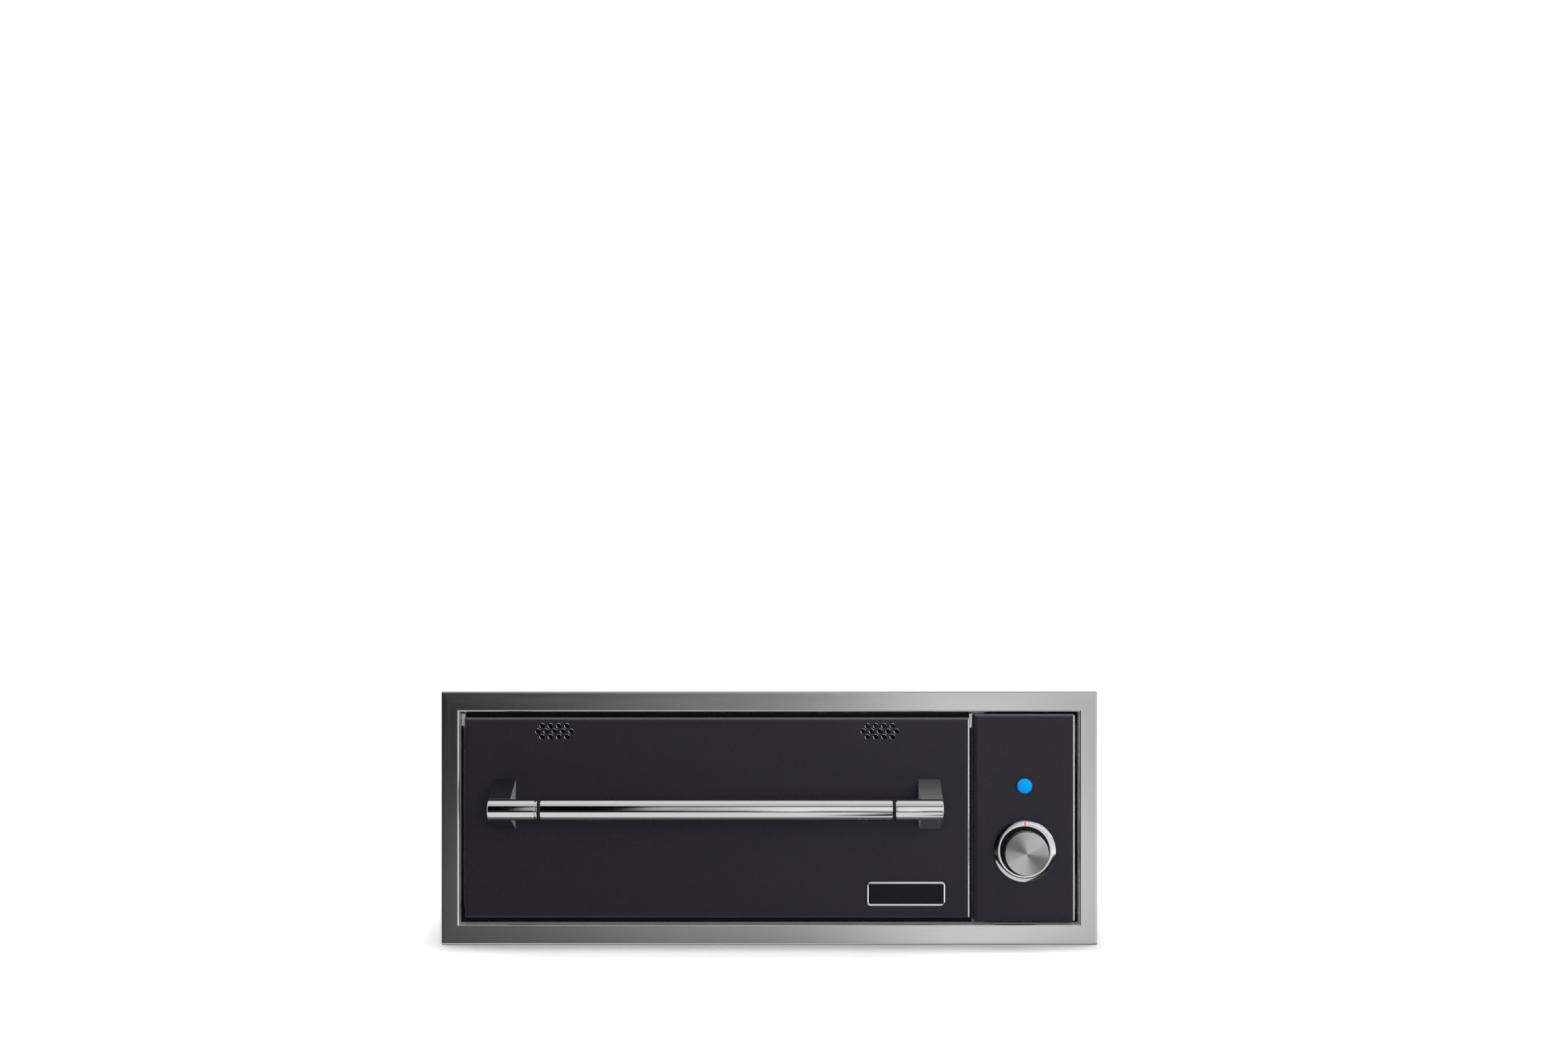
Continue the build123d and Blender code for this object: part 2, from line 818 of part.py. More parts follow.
# Slotted baffle that stands over the element on its two turned-down legs
baffle_left = cavity_left + baffle_side_gap
baffle_right = cavity_right - baffle_side_gap
baffle_front = insulation_front + baffle_front_gap
baffle_back = cavity_back - baffle_rear_gap
with BuildPart() as heat_baffle:
    with BuildSketch(upright(baffle_front)):
        sheet_between(baffle_left, baffle_right, cavity_low, cavity_low + baffle_height)
        sheet_between(
            baffle_left + baffle_sheet,
            baffle_right - baffle_sheet,
            cavity_low,
            cavity_low + baffle_height - baffle_sheet,
            mode=Mode.SUBTRACT,
        )
    extrude(amount=-(baffle_back - baffle_front))
    with BuildSketch(level(cavity_low + baffle_height)):
        with Locations((cover_centre, (baffle_front + baffle_back) / 2)):
            with GridLocations(
                2 * baffle_slot_length,
                12 * baffle_slot_width,
                baffle_slot_columns,
                baffle_slot_rows,
            ):
                Rectangle(baffle_slot_length, baffle_slot_width)
    extrude(amount=-2 * baffle_sheet, mode=Mode.SUBTRACT)
heat_baffle.part.label = "heat_baffle"
export_step(heat_baffle.part, "parts/heat_baffle.step")

# Probe bulb on the rear wall, with its capillary led through the divider to the regulator
regulator_back = panel_back + regulator_depth
bulb_start = cavity_right - bulb_inset - bulb_length
bulb_end = cavity_right - bulb_inset
aisle_x = partition_right + capillary_aisle
capillary_x = control_x - regulator_width / 4
capillary_z = knob_z + regulator_height / 4
with BuildPart() as probe_capillary:
    with BuildSketch(Plane.YZ.offset(bulb_start)):
        with Locations((bulb_y, bulb_z)):
            few_sided(bulb_radius)
    extrude(amount=bulb_length)
    with BuildLine() as capillary_path:
        FilletPolyline(
            (bulb_end, bulb_y, bulb_z),
            (aisle_x, bulb_y, bulb_z),
            (capillary_x, capillary_turn_depth, capillary_z),
            (capillary_x, regulator_back, capillary_z),
            radius=capillary_bend,
        )
    with BuildSketch(Plane(origin=capillary_path.line @ 0, z_dir=capillary_path.line % 0)):
        RegularPolygon(capillary_radius, wire_sides)
    sweep()
probe_capillary.part.label = "probe_capillary"
export_step(probe_capillary.part, "parts/probe_capillary.step")

# Two spring clips that hold the bulb to the rear wall
clip_ring = bulb_radius + bulb_clip_fit + clip_sheet
with BuildPart() as bulb_clips:
    for clip_x in (bulb_start + bulb_length / 4, bulb_end - bulb_length / 4):
        with BuildSketch(Plane.YZ.offset(clip_x - bulb_clip_width / 2)):
            sheet_between(bulb_y, cavity_back, bulb_z - clip_sheet, bulb_z + clip_sheet)
            with Locations((bulb_y, bulb_z)):
                few_sided(clip_ring)
                few_sided(bulb_radius + bulb_clip_fit, mode=Mode.SUBTRACT)
        extrude(amount=bulb_clip_width)
bulb_clips.part.label = "bulb_clips"
export_step(bulb_clips.part, "parts/bulb_clips.step")

# ---------------------------------------------------------------- control side

# Control panel, a tray with two inward lips that are screwed to the leaf and the bracket
with BuildPart() as control_panel:
    with BuildSketch(upright(0)):
        sheet_between(panel_left, panel_right, panel_low, panel_high)
    extrude(amount=frame_depth)
    fillet(control_panel.faces().sort_by(Axis.Y)[0].edges(), panel_bend)
    with BuildSketch(upright(-panel_sheet)):
        sheet_between(
            panel_left + panel_sheet,
            panel_right - panel_sheet,
            panel_low + panel_sheet,
            panel_high - panel_sheet,
        )
    extrude(amount=frame_depth - 2 * panel_sheet, mode=Mode.SUBTRACT)
    with BuildSketch(upright(0)):
        sheet_between(
            panel_left + panel_lip,
            panel_right - panel_lip,
            panel_low + panel_sheet,
            panel_high - panel_sheet,
        )
    extrude(amount=panel_sheet, mode=Mode.SUBTRACT)
    with BuildSketch(upright(front_face)):
        with Locations((control_x, knob_z)):
            few_sided(bushing_radius + bushing_clearance)
            with GridLocations(2 * regulator_screw_spread, 1, 2, 1):
                few_sided(regulator_screw_radius + fold_gap)
        with Locations((control_x, lamp_z)):
            few_sided(lamp_barrel_radius + lamp_clearance)
    extrude(amount=-2 * panel_sheet, mode=Mode.SUBTRACT)
    with BuildSketch(upright(-panel_sheet)):
        with Locations(*panel_screw_points):
            screw_outline(screw_fit)
    extrude(amount=-panel_sheet, mode=Mode.SUBTRACT)
control_panel.part.label = "control_panel"
export_step(control_panel.part, "parts/control_panel.step")

# Two angles welded to the casing's right wall for the panel's other lip
with BuildPart() as panel_brackets:
    for bracket_z in panel_screw_heights:
        with BuildSketch(level(bracket_z - panel_bracket_height / 2)):
            sheet_between(panel_right - panel_lip, wall_right, 0, casing_sheet)
            sheet_between(wall_right - casing_sheet, wall_right, 0, insulation_front)
        extrude(amount=panel_bracket_height)
    with BuildSketch(upright(0)):
        with Locations(*panel_screw_points):
            screw_outline(screw_fit)
    extrude(amount=-casing_sheet, mode=Mode.SUBTRACT)
panel_brackets.part.label = "panel_brackets"
export_step(panel_brackets.part, "parts/panel_brackets.step")

# Polished bezel round the knob
with BuildPart() as knob_bezel:
    with BuildSketch(upright(front_face)):
        with Locations((control_x, knob_z)):
            RegularPolygon(bezel_radius, turned_sides)
            RegularPolygon(bezel_inner_radius, turned_sides, mode=Mode.SUBTRACT)
    extrude(amount=bezel_height)
    chamfer(knob_bezel.faces().sort_by(Axis.Y)[0].edges(), bezel_edge)
knob_bezel.part.label = "knob_bezel"
export_step(knob_bezel.part, "parts/knob_bezel.step")

# Knob, turned and slightly tapered, hollow behind over the regulator's bushing
knob_taper = math.degrees(math.atan2(knob_base_radius - knob_face_radius, knob_back - knob_face))
with BuildPart() as knob:
    with BuildSketch(upright(knob_back)):
        with Locations((control_x, knob_z)):
            RegularPolygon(knob_base_radius, turned_sides)
    extrude(amount=knob_back - knob_face, taper=knob_taper)
    chamfer(knob.faces().sort_by(Axis.Y)[0].edges(), knob_edge)
    with BuildSketch(upright(knob_back)):
        with Locations((control_x, knob_z)):
            RegularPolygon(knob_base_radius - knob_skirt, turned_sides)
    extrude(amount=knob_recess, mode=Mode.SUBTRACT)
    with BuildSketch(upright(knob_back - knob_recess)):
        with Locations((control_x, knob_z)):
            Circle(shaft_radius + shaft_fit)
            with Locations((0, shaft_flat + shaft_fit + shaft_radius)):
                Rectangle(3 * shaft_radius, 2 * shaft_radius, mode=Mode.SUBTRACT)
    extrude(amount=shaft_grip, mode=Mode.SUBTRACT)
knob.part.label = "knob"
export_step(knob.part, "parts/knob.step")

# Regulator: a moulded block on a steel plate, with a bushing and blade terminals
shaft_end = panel_back + regulator_depth / 4
bushing_front = panel_back - bushing_length
with BuildPart() as regulator:
    with BuildSketch(upright(panel_back)):
        with Locations((control_x, knob_z)):
            Rectangle(regulator_width + 2 * regulator_ear, regulator_height / 2)
            Rectangle(regulator_width, regulator_height)
            with GridLocations(2 * regulator_screw_spread, 1, 2, 1):
                few_sided(regulator_screw_radius + shaft_fit, mode=Mode.SUBTRACT)
    extrude(amount=-regulator_plate)
    with BuildSketch(upright(panel_back + regulator_plate)):
        with Locations((control_x, knob_z)):
            Rectangle(regulator_width, regulator_height)
            with GridLocations(2 * regulator_screw_spread, 1, 2, 1):
                few_sided(regulator_screw_radius + shaft_fit, mode=Mode.SUBTRACT)
    extrude(amount=-(regulator_depth - regulator_plate))
    with BuildSketch(upright(panel_back)):
        with Locations((control_x, knob_z)):
            few_sided(bushing_radius)
    extrude(amount=bushing_length)
    with BuildSketch(upright(bushing_front)):
        with Locations((control_x, knob_z)):
            Circle(shaft_radius + shaft_bore_fit)
    extrude(amount=-(shaft_end - bushing_front + fold_gap), mode=Mode.SUBTRACT)
    with BuildSketch(upright(regulator_back)):
        with Locations((control_x, knob_z)):
            with GridLocations(blade_pitch, blade_row_step, 3, 2):
                Rectangle(blade_sheet, blade_width)
    extrude(amount=-blade_length)
regulator.part.label = "regulator"
export_step(regulator.part, "parts/regulator.step")

# D-section shaft that the knob is pushed onto
shaft_front = knob_back - knob_recess - shaft_grip + fold_gap
with BuildPart() as regulator_shaft:
    with BuildSketch(upright(shaft_end)):
        with Locations((control_x, knob_z)):
            Circle(shaft_radius)
    extrude(amount=shaft_end - shaft_front)
    with BuildSketch(upright(knob_back - knob_recess)):
        with Locations((control_x, knob_z + shaft_flat + shaft_radius)):
            Rectangle(3 * shaft_radius, 2 * shaft_radius)
    extrude(amount=shaft_grip, mode=Mode.SUBTRACT)
regulator_shaft.part.label = "regulator_shaft"
export_step(regulator_shaft.part, "parts/regulator_shaft.step")

# Two screws that hold the regulator's plate behind the panel, hidden by the knob
with BuildPart() as regulator_screws:
    with BuildSketch(upright(front_face)):
        with Locations((control_x, knob_z)):
            with GridLocations(2 * regulator_screw_spread, 1, 2, 1):
                few_sided(regulator_screw_head)
    extrude(amount=regulator_screw_head_height)
    with BuildSketch(upright(front_face)):
        with Locations((control_x, knob_z)):
            with GridLocations(2 * regulator_screw_spread, 1, 2, 1):
                few_sided(regulator_screw_radius)
    extrude(amount=-(panel_sheet + 4 * regulator_plate))
regulator_screws.part.label = "regulator_screws"
export_step(regulator_screws.part, "parts/regulator_screws.step")

# Pilot lamp: barrel with a bright ring, a flat lens in the ring and a nut behind
lens_back = front_face - lens_seat
with BuildPart() as lamp_body:
    with BuildSketch(upright(front_face)):
        with Locations((control_x, lamp_z)):
            RegularPolygon(lamp_ring_radius, ring_sides)
    extrude(amount=lamp_ring_height)
    with BuildSketch(upright(lens_back)):
        with Locations((control_x, lamp_z)):
            RegularPolygon(lens_radius + lens_fit, ring_sides)
    extrude(amount=lamp_ring_height, mode=Mode.SUBTRACT)
    with BuildSketch(upright(front_face)):
        with Locations((control_x, lamp_z)):
            few_sided(lamp_barrel_radius)
    extrude(amount=-lamp_barrel_length)
    with BuildSketch(upright(front_face + lamp_barrel_length)):
        with Locations((control_x, lamp_z)):
            with GridLocations(lamp_barrel_radius, 1, 2, 1):
                Rectangle(blade_sheet, blade_width)
    extrude(amount=-blade_length)
lamp_body.part.label = "lamp_body"
export_step(lamp_body.part, "parts/lamp_body.step")

with BuildPart() as lamp_lens:
    with BuildSketch(upright(lens_back)):
        with Locations((control_x, lamp_z)):
            RegularPolygon(lens_radius, ring_sides)
    extrude(amount=lens_height)
lamp_lens.part.label = "lamp_lens"
export_step(lamp_lens.part, "parts/lamp_lens.step")

with BuildPart() as lamp_nut:
    with BuildSketch(upright(panel_back)):
        with Locations((control_x, lamp_z)):
            RegularPolygon(lamp_nut_flats / 2, 6, major_radius=False)
            few_sided(lamp_barrel_radius + lens_fit, mode=Mode.SUBTRACT)
    extrude(amount=-lamp_nut_height)
lamp_nut.part.label = "lamp_nut"
export_step(lamp_nut.part, "parts/lamp_nut.step")

# ---------------------------------------------------------------- supply

# Bushing that lines the supply hole in the back cover
inlet_body = inlet_hole_radius - inlet_fit
with BuildPart() as inlet_bushing:
    with BuildSketch(upright(casing_depth + inlet_flange_height)):
        with Locations((inlet_x, inlet_height)):
            RegularPolygon(inlet_hole_radius + inlet_flange, 6)
    extrude(amount=inlet_flange_height)
    with BuildSketch(upright(casing_depth)):
        with Locations((inlet_x, inlet_height)):
            few_sided(inlet_body)
    extrude(amount=back_sheet + inlet_flange_height)
    with BuildSketch(upright(casing_depth + inlet_flange_height)):
        with Locations((inlet_x, inlet_height)):
            Circle(inlet_bore_radius)
    extrude(amount=back_sheet + 2 * inlet_flange_height, mode=Mode.SUBTRACT)
inlet_bushing.part.label = "inlet_bushing"
export_step(inlet_bushing.part, "parts/inlet_bushing.step")

# Terminal block on the casing's floor, with a barrier between its poles
block_back = lip_front - block_rear_gap
block_front = block_back - block_depth
pole_pitch = (block_width - block_barrier) / block_poles
with BuildPart() as terminal_block:
    with BuildSketch(upright(block_back)):
        with Locations((inlet_x, casing_sheet + block_height / 2)):
            Rectangle(block_width, block_height)
        with Locations((inlet_x, casing_sheet + block_base + block_height / 2)):
            with GridLocations(pole_pitch, 1, block_poles, 1):
                Rectangle(pole_pitch - block_barrier, block_height, mode=Mode.SUBTRACT)
    extrude(amount=block_depth)
    with BuildSketch(level(casing_sheet + block_base)):
        with Locations((inlet_x, (block_back + block_front) / 2)):
            with GridLocations(pole_pitch, block_depth / 2, block_poles, 2):
                RegularPolygon(block_barrier, 6)
    extrude(amount=block_base)
terminal_block.part.label = "terminal_block"
export_step(terminal_block.part, "parts/terminal_block.step")

# Leads from the terminal block: a loom to the regulator, two to the heater, one to the lamp
block_middle = (block_back + block_front) / 2
supply_x = inlet_x + pole_pitch
supply_z = casing_sheet + 2 * block_base
regulator_entry = regulator_back + blade_length
regulator_loom_x = control_x + regulator_width / 3
lamp_entry = front_face + lamp_barrel_length + blade_length
lead_routes = [
    (
        loom_radius,
        [
            (supply_x, block_middle, supply_z),
            (supply_x, block_middle, supply_z + loom_rise),
            (supply_x, regulator_entry + 2 * loom_reach, supply_z + loom_rise),
            (regulator_loom_x, regulator_entry + loom_reach, knob_z),
            (regulator_loom_x, regulator_entry, knob_z),
        ],
    ),
    (
        lead_radius,
        [
            (control_x + lamp_barrel_radius, lamp_entry, lamp_z),
            (control_x + lamp_barrel_radius, lamp_entry + loom_reach, lamp_z),
            (control_x + lamp_barrel_radius, lamp_entry + loom_reach, knob_z + blade_width),
            (control_x + lamp_barrel_radius, regulator_back, knob_z + blade_width),
        ],
    ),
]
for order, leg_x in enumerate((leg_right, leg_left)):
    run_y = lead_run + order * lead_step
    pole_x = inlet_x + (order - 1) * pole_pitch
    lead_routes.append(
        (
            lead_radius,
            [
                (leg_x, leg_end, element_z),
                (leg_x, run_y, element_z),
                (pole_x, run_y, element_z),
                (pole_x, block_middle + order * lead_step, element_z),
                (pole_x, block_middle + order * lead_step, supply_z),
            ],
        )
    )
with BuildPart() as internal_wiring:
    for radius, route in lead_routes:
        with BuildLine() as lead:
            Polyline(*route)
        with BuildSketch(Plane(origin=lead.line @ 0, z_dir=lead.line % 0)):
            RegularPolygon(radius, wire_sides)
        sweep(transition=Transition.RIGHT)
internal_wiring.part.label = "internal_wiring"
export_step(internal_wiring.part, "parts/internal_wiring.step")

# ---------------------------------------------------------------- drawer front

bolt_points = []
bar_left = cover_left + handle_inset
bar_right = cover_right - handle_inset
left_bracket_x = bar_left + end_dome
right_bracket_x = bar_right - end_dome - bracket_width
for bracket_x in (left_bracket_x, right_bracket_x):
    for step in (-1, 1):
        bolt_points.append((bracket_x + bracket_width / 2, handle_z + step * bolt_spread))
vent_centres = [(cover_centre - vent_spread, vent_z), (cover_centre + vent_spread, vent_z)]

# Dark cover, a shallow folded tray pierced by the vents
with BuildPart() as front_cover:
    with BuildSketch(upright(cover_back)):
        sheet_between(cover_left, cover_right, cover_low, cover_high)
    extrude(amount=cover_depth)
    fillet(front_cover.faces().sort_by(Axis.Y)[0].edges(), cover_bend)
    with BuildSketch(upright(cover_back)):
        sheet_between(
            cover_left + cover_sheet,
            cover_right - cover_sheet,
            cover_low + cover_sheet,
            cover_high - cover_sheet,
        )
    extrude(amount=cover_depth - cover_sheet, mode=Mode.SUBTRACT)
    with BuildSketch(upright(front_face)):
        with Locations(*vent_centres):
            with Locations(*vent_points()):
                few_sided(vent_hole_radius)
        with Locations(*bolt_points):
            few_sided(bolt_radius + bolt_clearance)
    extrude(amount=-2 * cover_sheet, mode=Mode.SUBTRACT)
front_cover.part.label = "front_cover"
export_step(front_cover.part, "parts/front_cover.step")

# Bright pan behind the cover, with small ears at its four corners
pan_front_inner = cover_back + pan_sheet
with BuildPart() as front_pan:
    with BuildSketch(upright(inner_panel_front)):
        sheet_between(pan_left, pan_right, panel_low, panel_high)
    extrude(amount=inner_panel_front - cover_back)
    with BuildSketch(upright(cover_back)):
        for ear_low in (panel_low, panel_high - ear_height):
            sheet_between(pan_left - ear_left, pan_right + ear_right, ear_low, ear_low + ear_height)
    extrude(amount=-pan_sheet)
    with BuildSketch(upright(inner_panel_front)):
        sheet_between(
            pan_left + pan_sheet,
            pan_right - pan_sheet,
            panel_low + pan_sheet,
            panel_high - pan_sheet,
        )
    extrude(amount=inner_panel_front - pan_front_inner, mode=Mode.SUBTRACT)
    with BuildSketch(upright(cover_back)):
        with Locations(*vent_centres):
            Rectangle(vent_duct_width - 2 * duct_sheet, vent_duct_height - 2 * duct_sheet)
        with Locations(*bolt_points):
            few_sided(bolt_radius + bolt_clearance)
    extrude(amount=-2 * pan_sheet, mode=Mode.SUBTRACT)
front_pan.part.label = "front_pan"
export_step(front_pan.part, "parts/front_pan.step")

# Inner panel that closes the pan and meets the gasket, slotted behind the vents
with BuildPart() as inner_panel:
    with BuildSketch(upright(pan_back)):
        sheet_between(pan_left, pan_right, panel_low, panel_high)
        with Locations(*vent_centres):
            with GridLocations(vent_pitch, 1, slot_columns, 1):
                Rectangle(shutter_slot, shutter_slot_height, mode=Mode.SUBTRACT)
    extrude(amount=inner_panel_sheet)
inner_panel.part.label = "inner_panel"
export_step(inner_panel.part, "parts/inner_panel.step")

# Two sleeves that lead the moist air through the front's insulation
with BuildPart() as vent_ducts:
    with BuildSketch(upright(inner_panel_front)):
        with Locations(*vent_centres):
            Rectangle(vent_duct_width, vent_duct_height)
            Rectangle(
                vent_duct_width - 2 * duct_sheet,
                vent_duct_height - 2 * duct_sheet,
                mode=Mode.SUBTRACT,
            )
    extrude(amount=inner_panel_front - pan_front_inner)
vent_ducts.part.label = "vent_ducts"
export_step(vent_ducts.part, "parts/vent_ducts.step")

# Insulation inside the drawer front, cut round the ducts and the bolt heads
with BuildPart() as front_insulation:
    with BuildSketch(upright(inner_panel_front)):
        sheet_between(
            pan_left + pan_sheet + fold_gap,
            pan_right - pan_sheet - fold_gap,
            panel_low + pan_sheet + fold_gap,
            panel_high - pan_sheet - fold_gap,
        )
        with Locations(*vent_centres):
            Rectangle(
                vent_duct_width + fold_gap,
                vent_duct_height + fold_gap,
                mode=Mode.SUBTRACT,
            )
        with Locations(*bolt_points):
            Rectangle(bolt_pocket, bolt_pocket, mode=Mode.SUBTRACT)
    extrude(amount=inner_panel_front - pan_front_inner)
front_insulation.part.label = "front_insulation"
export_step(front_insulation.part, "parts/front_insulation.step")

# Sliding shutters behind the inner panel, each with a finger tab
shutter_front = pan_back + shutter_gap
shutter_back = shutter_front + shutter_sheet
rivet_slot = 2 * (rivet_radius + shutter_gap)
for side, centre in zip(("left", "right"), vent_centres):
    with BuildPart() as vent_shutter:
        with BuildSketch(upright(shutter_back)):
            with Locations(centre):
                Rectangle(shutter_width, shutter_height)
                with GridLocations(vent_pitch, 1, slot_columns, 1):
                    Rectangle(shutter_slot, shutter_slot_height, mode=Mode.SUBTRACT)
                with Locations((-shutter_travel / 2, 0)):
                    with GridLocations(2 * rivet_spread, 1, 2, 1):
                        Rectangle(rivet_slot + shutter_travel, rivet_slot, mode=Mode.SUBTRACT)
        extrude(amount=shutter_sheet)
        with BuildSketch(upright(shutter_back)):
            with Locations((centre[0], centre[1] - (shutter_height - shutter_sheet) / 2)):
                Rectangle(shutter_tab, shutter_sheet)
        extrude(amount=-shutter_tab)
    vent_shutter.part.label = f"{side}_vent_shutter"
    export_step(vent_shutter.part, f"parts/{side}_vent_shutter.step")

# Shoulder rivets that the shutters slide on
rivet_shoulder = shutter_back + shutter_gap
with BuildPart() as shutter_rivets:
    with BuildSketch(upright(pan_back)):
        with Locations(*vent_centres):
            with GridLocations(2 * rivet_spread, 1, 2, 1):
                few_sided(rivet_radius)
    extrude(amount=-(rivet_shoulder - pan_back))
    with BuildSketch(upright(rivet_shoulder)):
        with Locations(*vent_centres):
            with GridLocations(2 * rivet_spread, 1, 2, 1):
                few_sided(rivet_head_radius)
    extrude(amount=-rivet_head)
shutter_rivets.part.label = "shutter_rivets"
export_step(shutter_rivets.part, "parts/shutter_rivets.step")

# ---------------------------------------------------------------- drawer tub and rack

# Folded and welded tub, open above, with a turned-out rim
with BuildPart() as drawer_tub:
    with BuildSketch(level(tub_low)):
        sheet_between(tub_left, tub_right, pan_back, tub_back)
    extrude(amount=tub_high - tub_low)
    fillet(drawer_tub.faces().sort_by(Axis.Z)[0].edges(), tub_bend)
    offset(amount=-tub_sheet, openings=drawer_tub.faces().sort_by(Axis.Z)[-1])
    with BuildSketch(level(tub_high)):
        sheet_between(tub_left - tub_rim, tub_right + tub_rim, pan_back, tub_back + tub_rim)
        sheet_between(
            tub_left + tub_sheet,
            tub_right - tub_sheet,
            pan_back + tub_sheet,
            tub_back - tub_sheet,
            mode=Mode.SUBTRACT,
        )
    extrude(amount=-tub_sheet)
drawer_tub.part.label = "drawer_tub"
export_step(drawer_tub.part, "parts/drawer_tub.step")

# Welded wire rack standing on four short feet in the tub
rack_left = tub_left + rack_gap
rack_right = tub_right - rack_gap
rack_front = pan_back + rack_gap
rack_back = tub_back - rack_gap
rack_floor = tub_low + tub_sheet
rack_z = rack_floor + rack_rise
wire_z = rack_z + rack_frame_radius + rack_wire_radius - rack_weld
rack_step = (rack_right - rack_left) / (rack_wires + 1)
rack_corners = [
    (cover_centre, rack_front, rack_z),
    (rack_right, rack_front, rack_z),
    (rack_right, rack_back, rack_z),
    (cover_centre, rack_back, rack_z),
]
with BuildPart() as wire_rack:
    with BuildLine() as rack_outline:
        Polyline(*bent_route(rack_corners, (rack_corner, rack_corner)))
    with BuildSketch(Plane(origin=rack_outline.line @ 0, z_dir=rack_outline.line % 0)):
        RegularPolygon(rack_frame_radius, wire_sides)
    sweep(transition=Transition.RIGHT)
    mirror(about=Plane.YZ.offset(cover_centre))
    with BuildSketch(upright(rack_front)):
        with Locations((cover_centre, wire_z)):
            with GridLocations(rack_step, 1, rack_wires, 1):
                RegularPolygon(rack_wire_radius, wire_sides)
    extrude(amount=-(rack_back - rack_front))
    with BuildSketch(level(rack_floor)):
        with Locations((cover_centre, (rack_front + rack_back) / 2)):
            with GridLocations(
                rack_right - rack_left, rack_foot_spread * (rack_back - rack_front), 2, 2
            ):
                RegularPolygon(rack_frame_radius, wire_sides)
    extrude(amount=rack_rise)
wire_rack.part.label = "wire_rack"
export_step(wire_rack.part, "parts/wire_rack.step")

# ---------------------------------------------------------------- handle

# Middle tube between the two grooves
sleeve_left = bar_left + end_dome + sleeve_length
sleeve_right = bar_right - end_dome - sleeve_length
tube_left = sleeve_left + left_groove
tube_right = sleeve_right - right_groove
with BuildPart() as handle_tube:
    with BuildSketch(Plane.YZ.offset(tube_left)):
        with Locations((handle_y, handle_z)):
            Circle(tube_radius)
            Circle(tube_radius - tube_wall, mode=Mode.SUBTRACT)
    extrude(amount=tube_right - tube_left)
handle_tube.part.label = "handle_tube"
export_step(handle_tube.part, "parts/handle_tube.step")

# End sleeves, turned solid, with a chamfered end and a spigot that enters the tube
for side, end_x, shoulder_x, tube_end in (
    ("left", bar_left, sleeve_left, tube_left),
    ("right", bar_right, sleeve_right, tube_right),
):
    inward = 1 if side == "left" else -1
    with BuildPart() as handle_sleeve:
        with BuildSketch(Plane.YZ.offset(end_x)):
            with Locations((handle_y, handle_z)):
                RegularPolygon(sleeve_radius, ring_sides)
        extrude(amount=shoulder_x - end_x)
        end_face = handle_sleeve.faces().sort_by(Axis.X)[0 if inward > 0 else -1]
        chamfer(end_face.edges(), end_dome)
        with BuildSketch(Plane.YZ.offset(shoulder_x)):
            with Locations((handle_y, handle_z)):
                RegularPolygon(spigot_radius, ring_sides)
        extrude(amount=tube_end - shoulder_x + inward * spigot_length)
    handle_sleeve.part.label = f"{side}_handle_sleeve"
    export_step(handle_sleeve.part, f"parts/{side}_handle_sleeve.step")

# Thin bright ring in the left groove, and the black sealing rings in both
spigot_bore = spigot_radius + spigot_clearance
with BuildPart() as handle_ring:
    with BuildSketch(Plane.YZ.offset(sleeve_left + ring_gap)):
        with Locations((handle_y, handle_z)):
            RegularPolygon(ring_radius, ring_sides)
            RegularPolygon(spigot_bore, ring_sides, major_radius=False, mode=Mode.SUBTRACT)
    extrude(amount=ring_width)
handle_ring.part.label = "handle_ring"
export_step(handle_ring.part, "parts/handle_ring.step")

with BuildPart() as handle_seals:
    for seal_x in (tube_left - o_ring_width, tube_right):
        with BuildSketch(Plane.YZ.offset(seal_x)):
            with Locations((handle_y, handle_z)):
                RegularPolygon(o_ring_radius, ring_sides)
                RegularPolygon(spigot_bore, ring_sides, major_radius=False, mode=Mode.SUBTRACT)
        extrude(amount=o_ring_width)
handle_seals.part.label = "handle_seals"
export_step(handle_seals.part, "parts/handle_seals.step")

# Brackets: wide at the cover, tapering to a saddle behind the bar
bracket_tip = handle_y + bracket_tip_gap
for side, bracket_x in (("left", left_bracket_x), ("right", right_bracket_x)):
    with BuildPart() as handle_bracket:
        with BuildSketch(Plane.YZ.offset(bracket_x)):
            with BuildLine():
                Polyline(
                    (front_face, handle_z - bracket_base / 2),
                    (front_face, handle_z + bracket_base / 2),
                    (bracket_tip, handle_z + sleeve_radius),
                    (bracket_tip, handle_z - sleeve_radius),
                    close=True,
                )
            make_face()
            with Locations((handle_y, handle_z)):
                Circle(sleeve_radius + saddle_clearance, mode=Mode.SUBTRACT)
        extrude(amount=bracket_width)
        with BuildSketch(upright(front_face)):
            with Locations(*bolt_points):
                few_sided(bolt_radius + spigot_clearance)
        extrude(amount=bolt_bite + bolt_end_gap, mode=Mode.SUBTRACT)
    handle_bracket.part.label = f"{side}_handle_bracket"
    export_step(handle_bracket.part, f"parts/{side}_handle_bracket.step")

# Bolts from inside the pan into the brackets, and the spacers that they clamp
with BuildPart() as handle_bolts:
    with BuildSketch(upright(pan_front_inner)):
        with Locations(*bolt_points):
            few_sided(bolt_radius)
    extrude(amount=pan_front_inner - front_face + bolt_bite)
    with BuildSketch(upright(pan_front_inner)):
        with Locations(*bolt_points):
            RegularPolygon(bolt_head_flats / 2, 6, major_radius=False)
    extrude(amount=-bolt_head)
handle_bolts.part.label = "handle_bolts"
export_step(handle_bolts.part, "parts/handle_bolts.step")

with BuildPart() as handle_spacers:
    with BuildSketch(upright(cover_back)):
        with Locations(*bolt_points):
            few_sided(spacer_radius)
            few_sided(bolt_radius + bolt_clearance, mode=Mode.SUBTRACT)
    extrude(amount=cover_depth - cover_sheet)
handle_spacers.part.label = "handle_spacers"
export_step(handle_spacers.part, "parts/handle_spacers.step")

# ---------------------------------------------------------------- telescopic slides

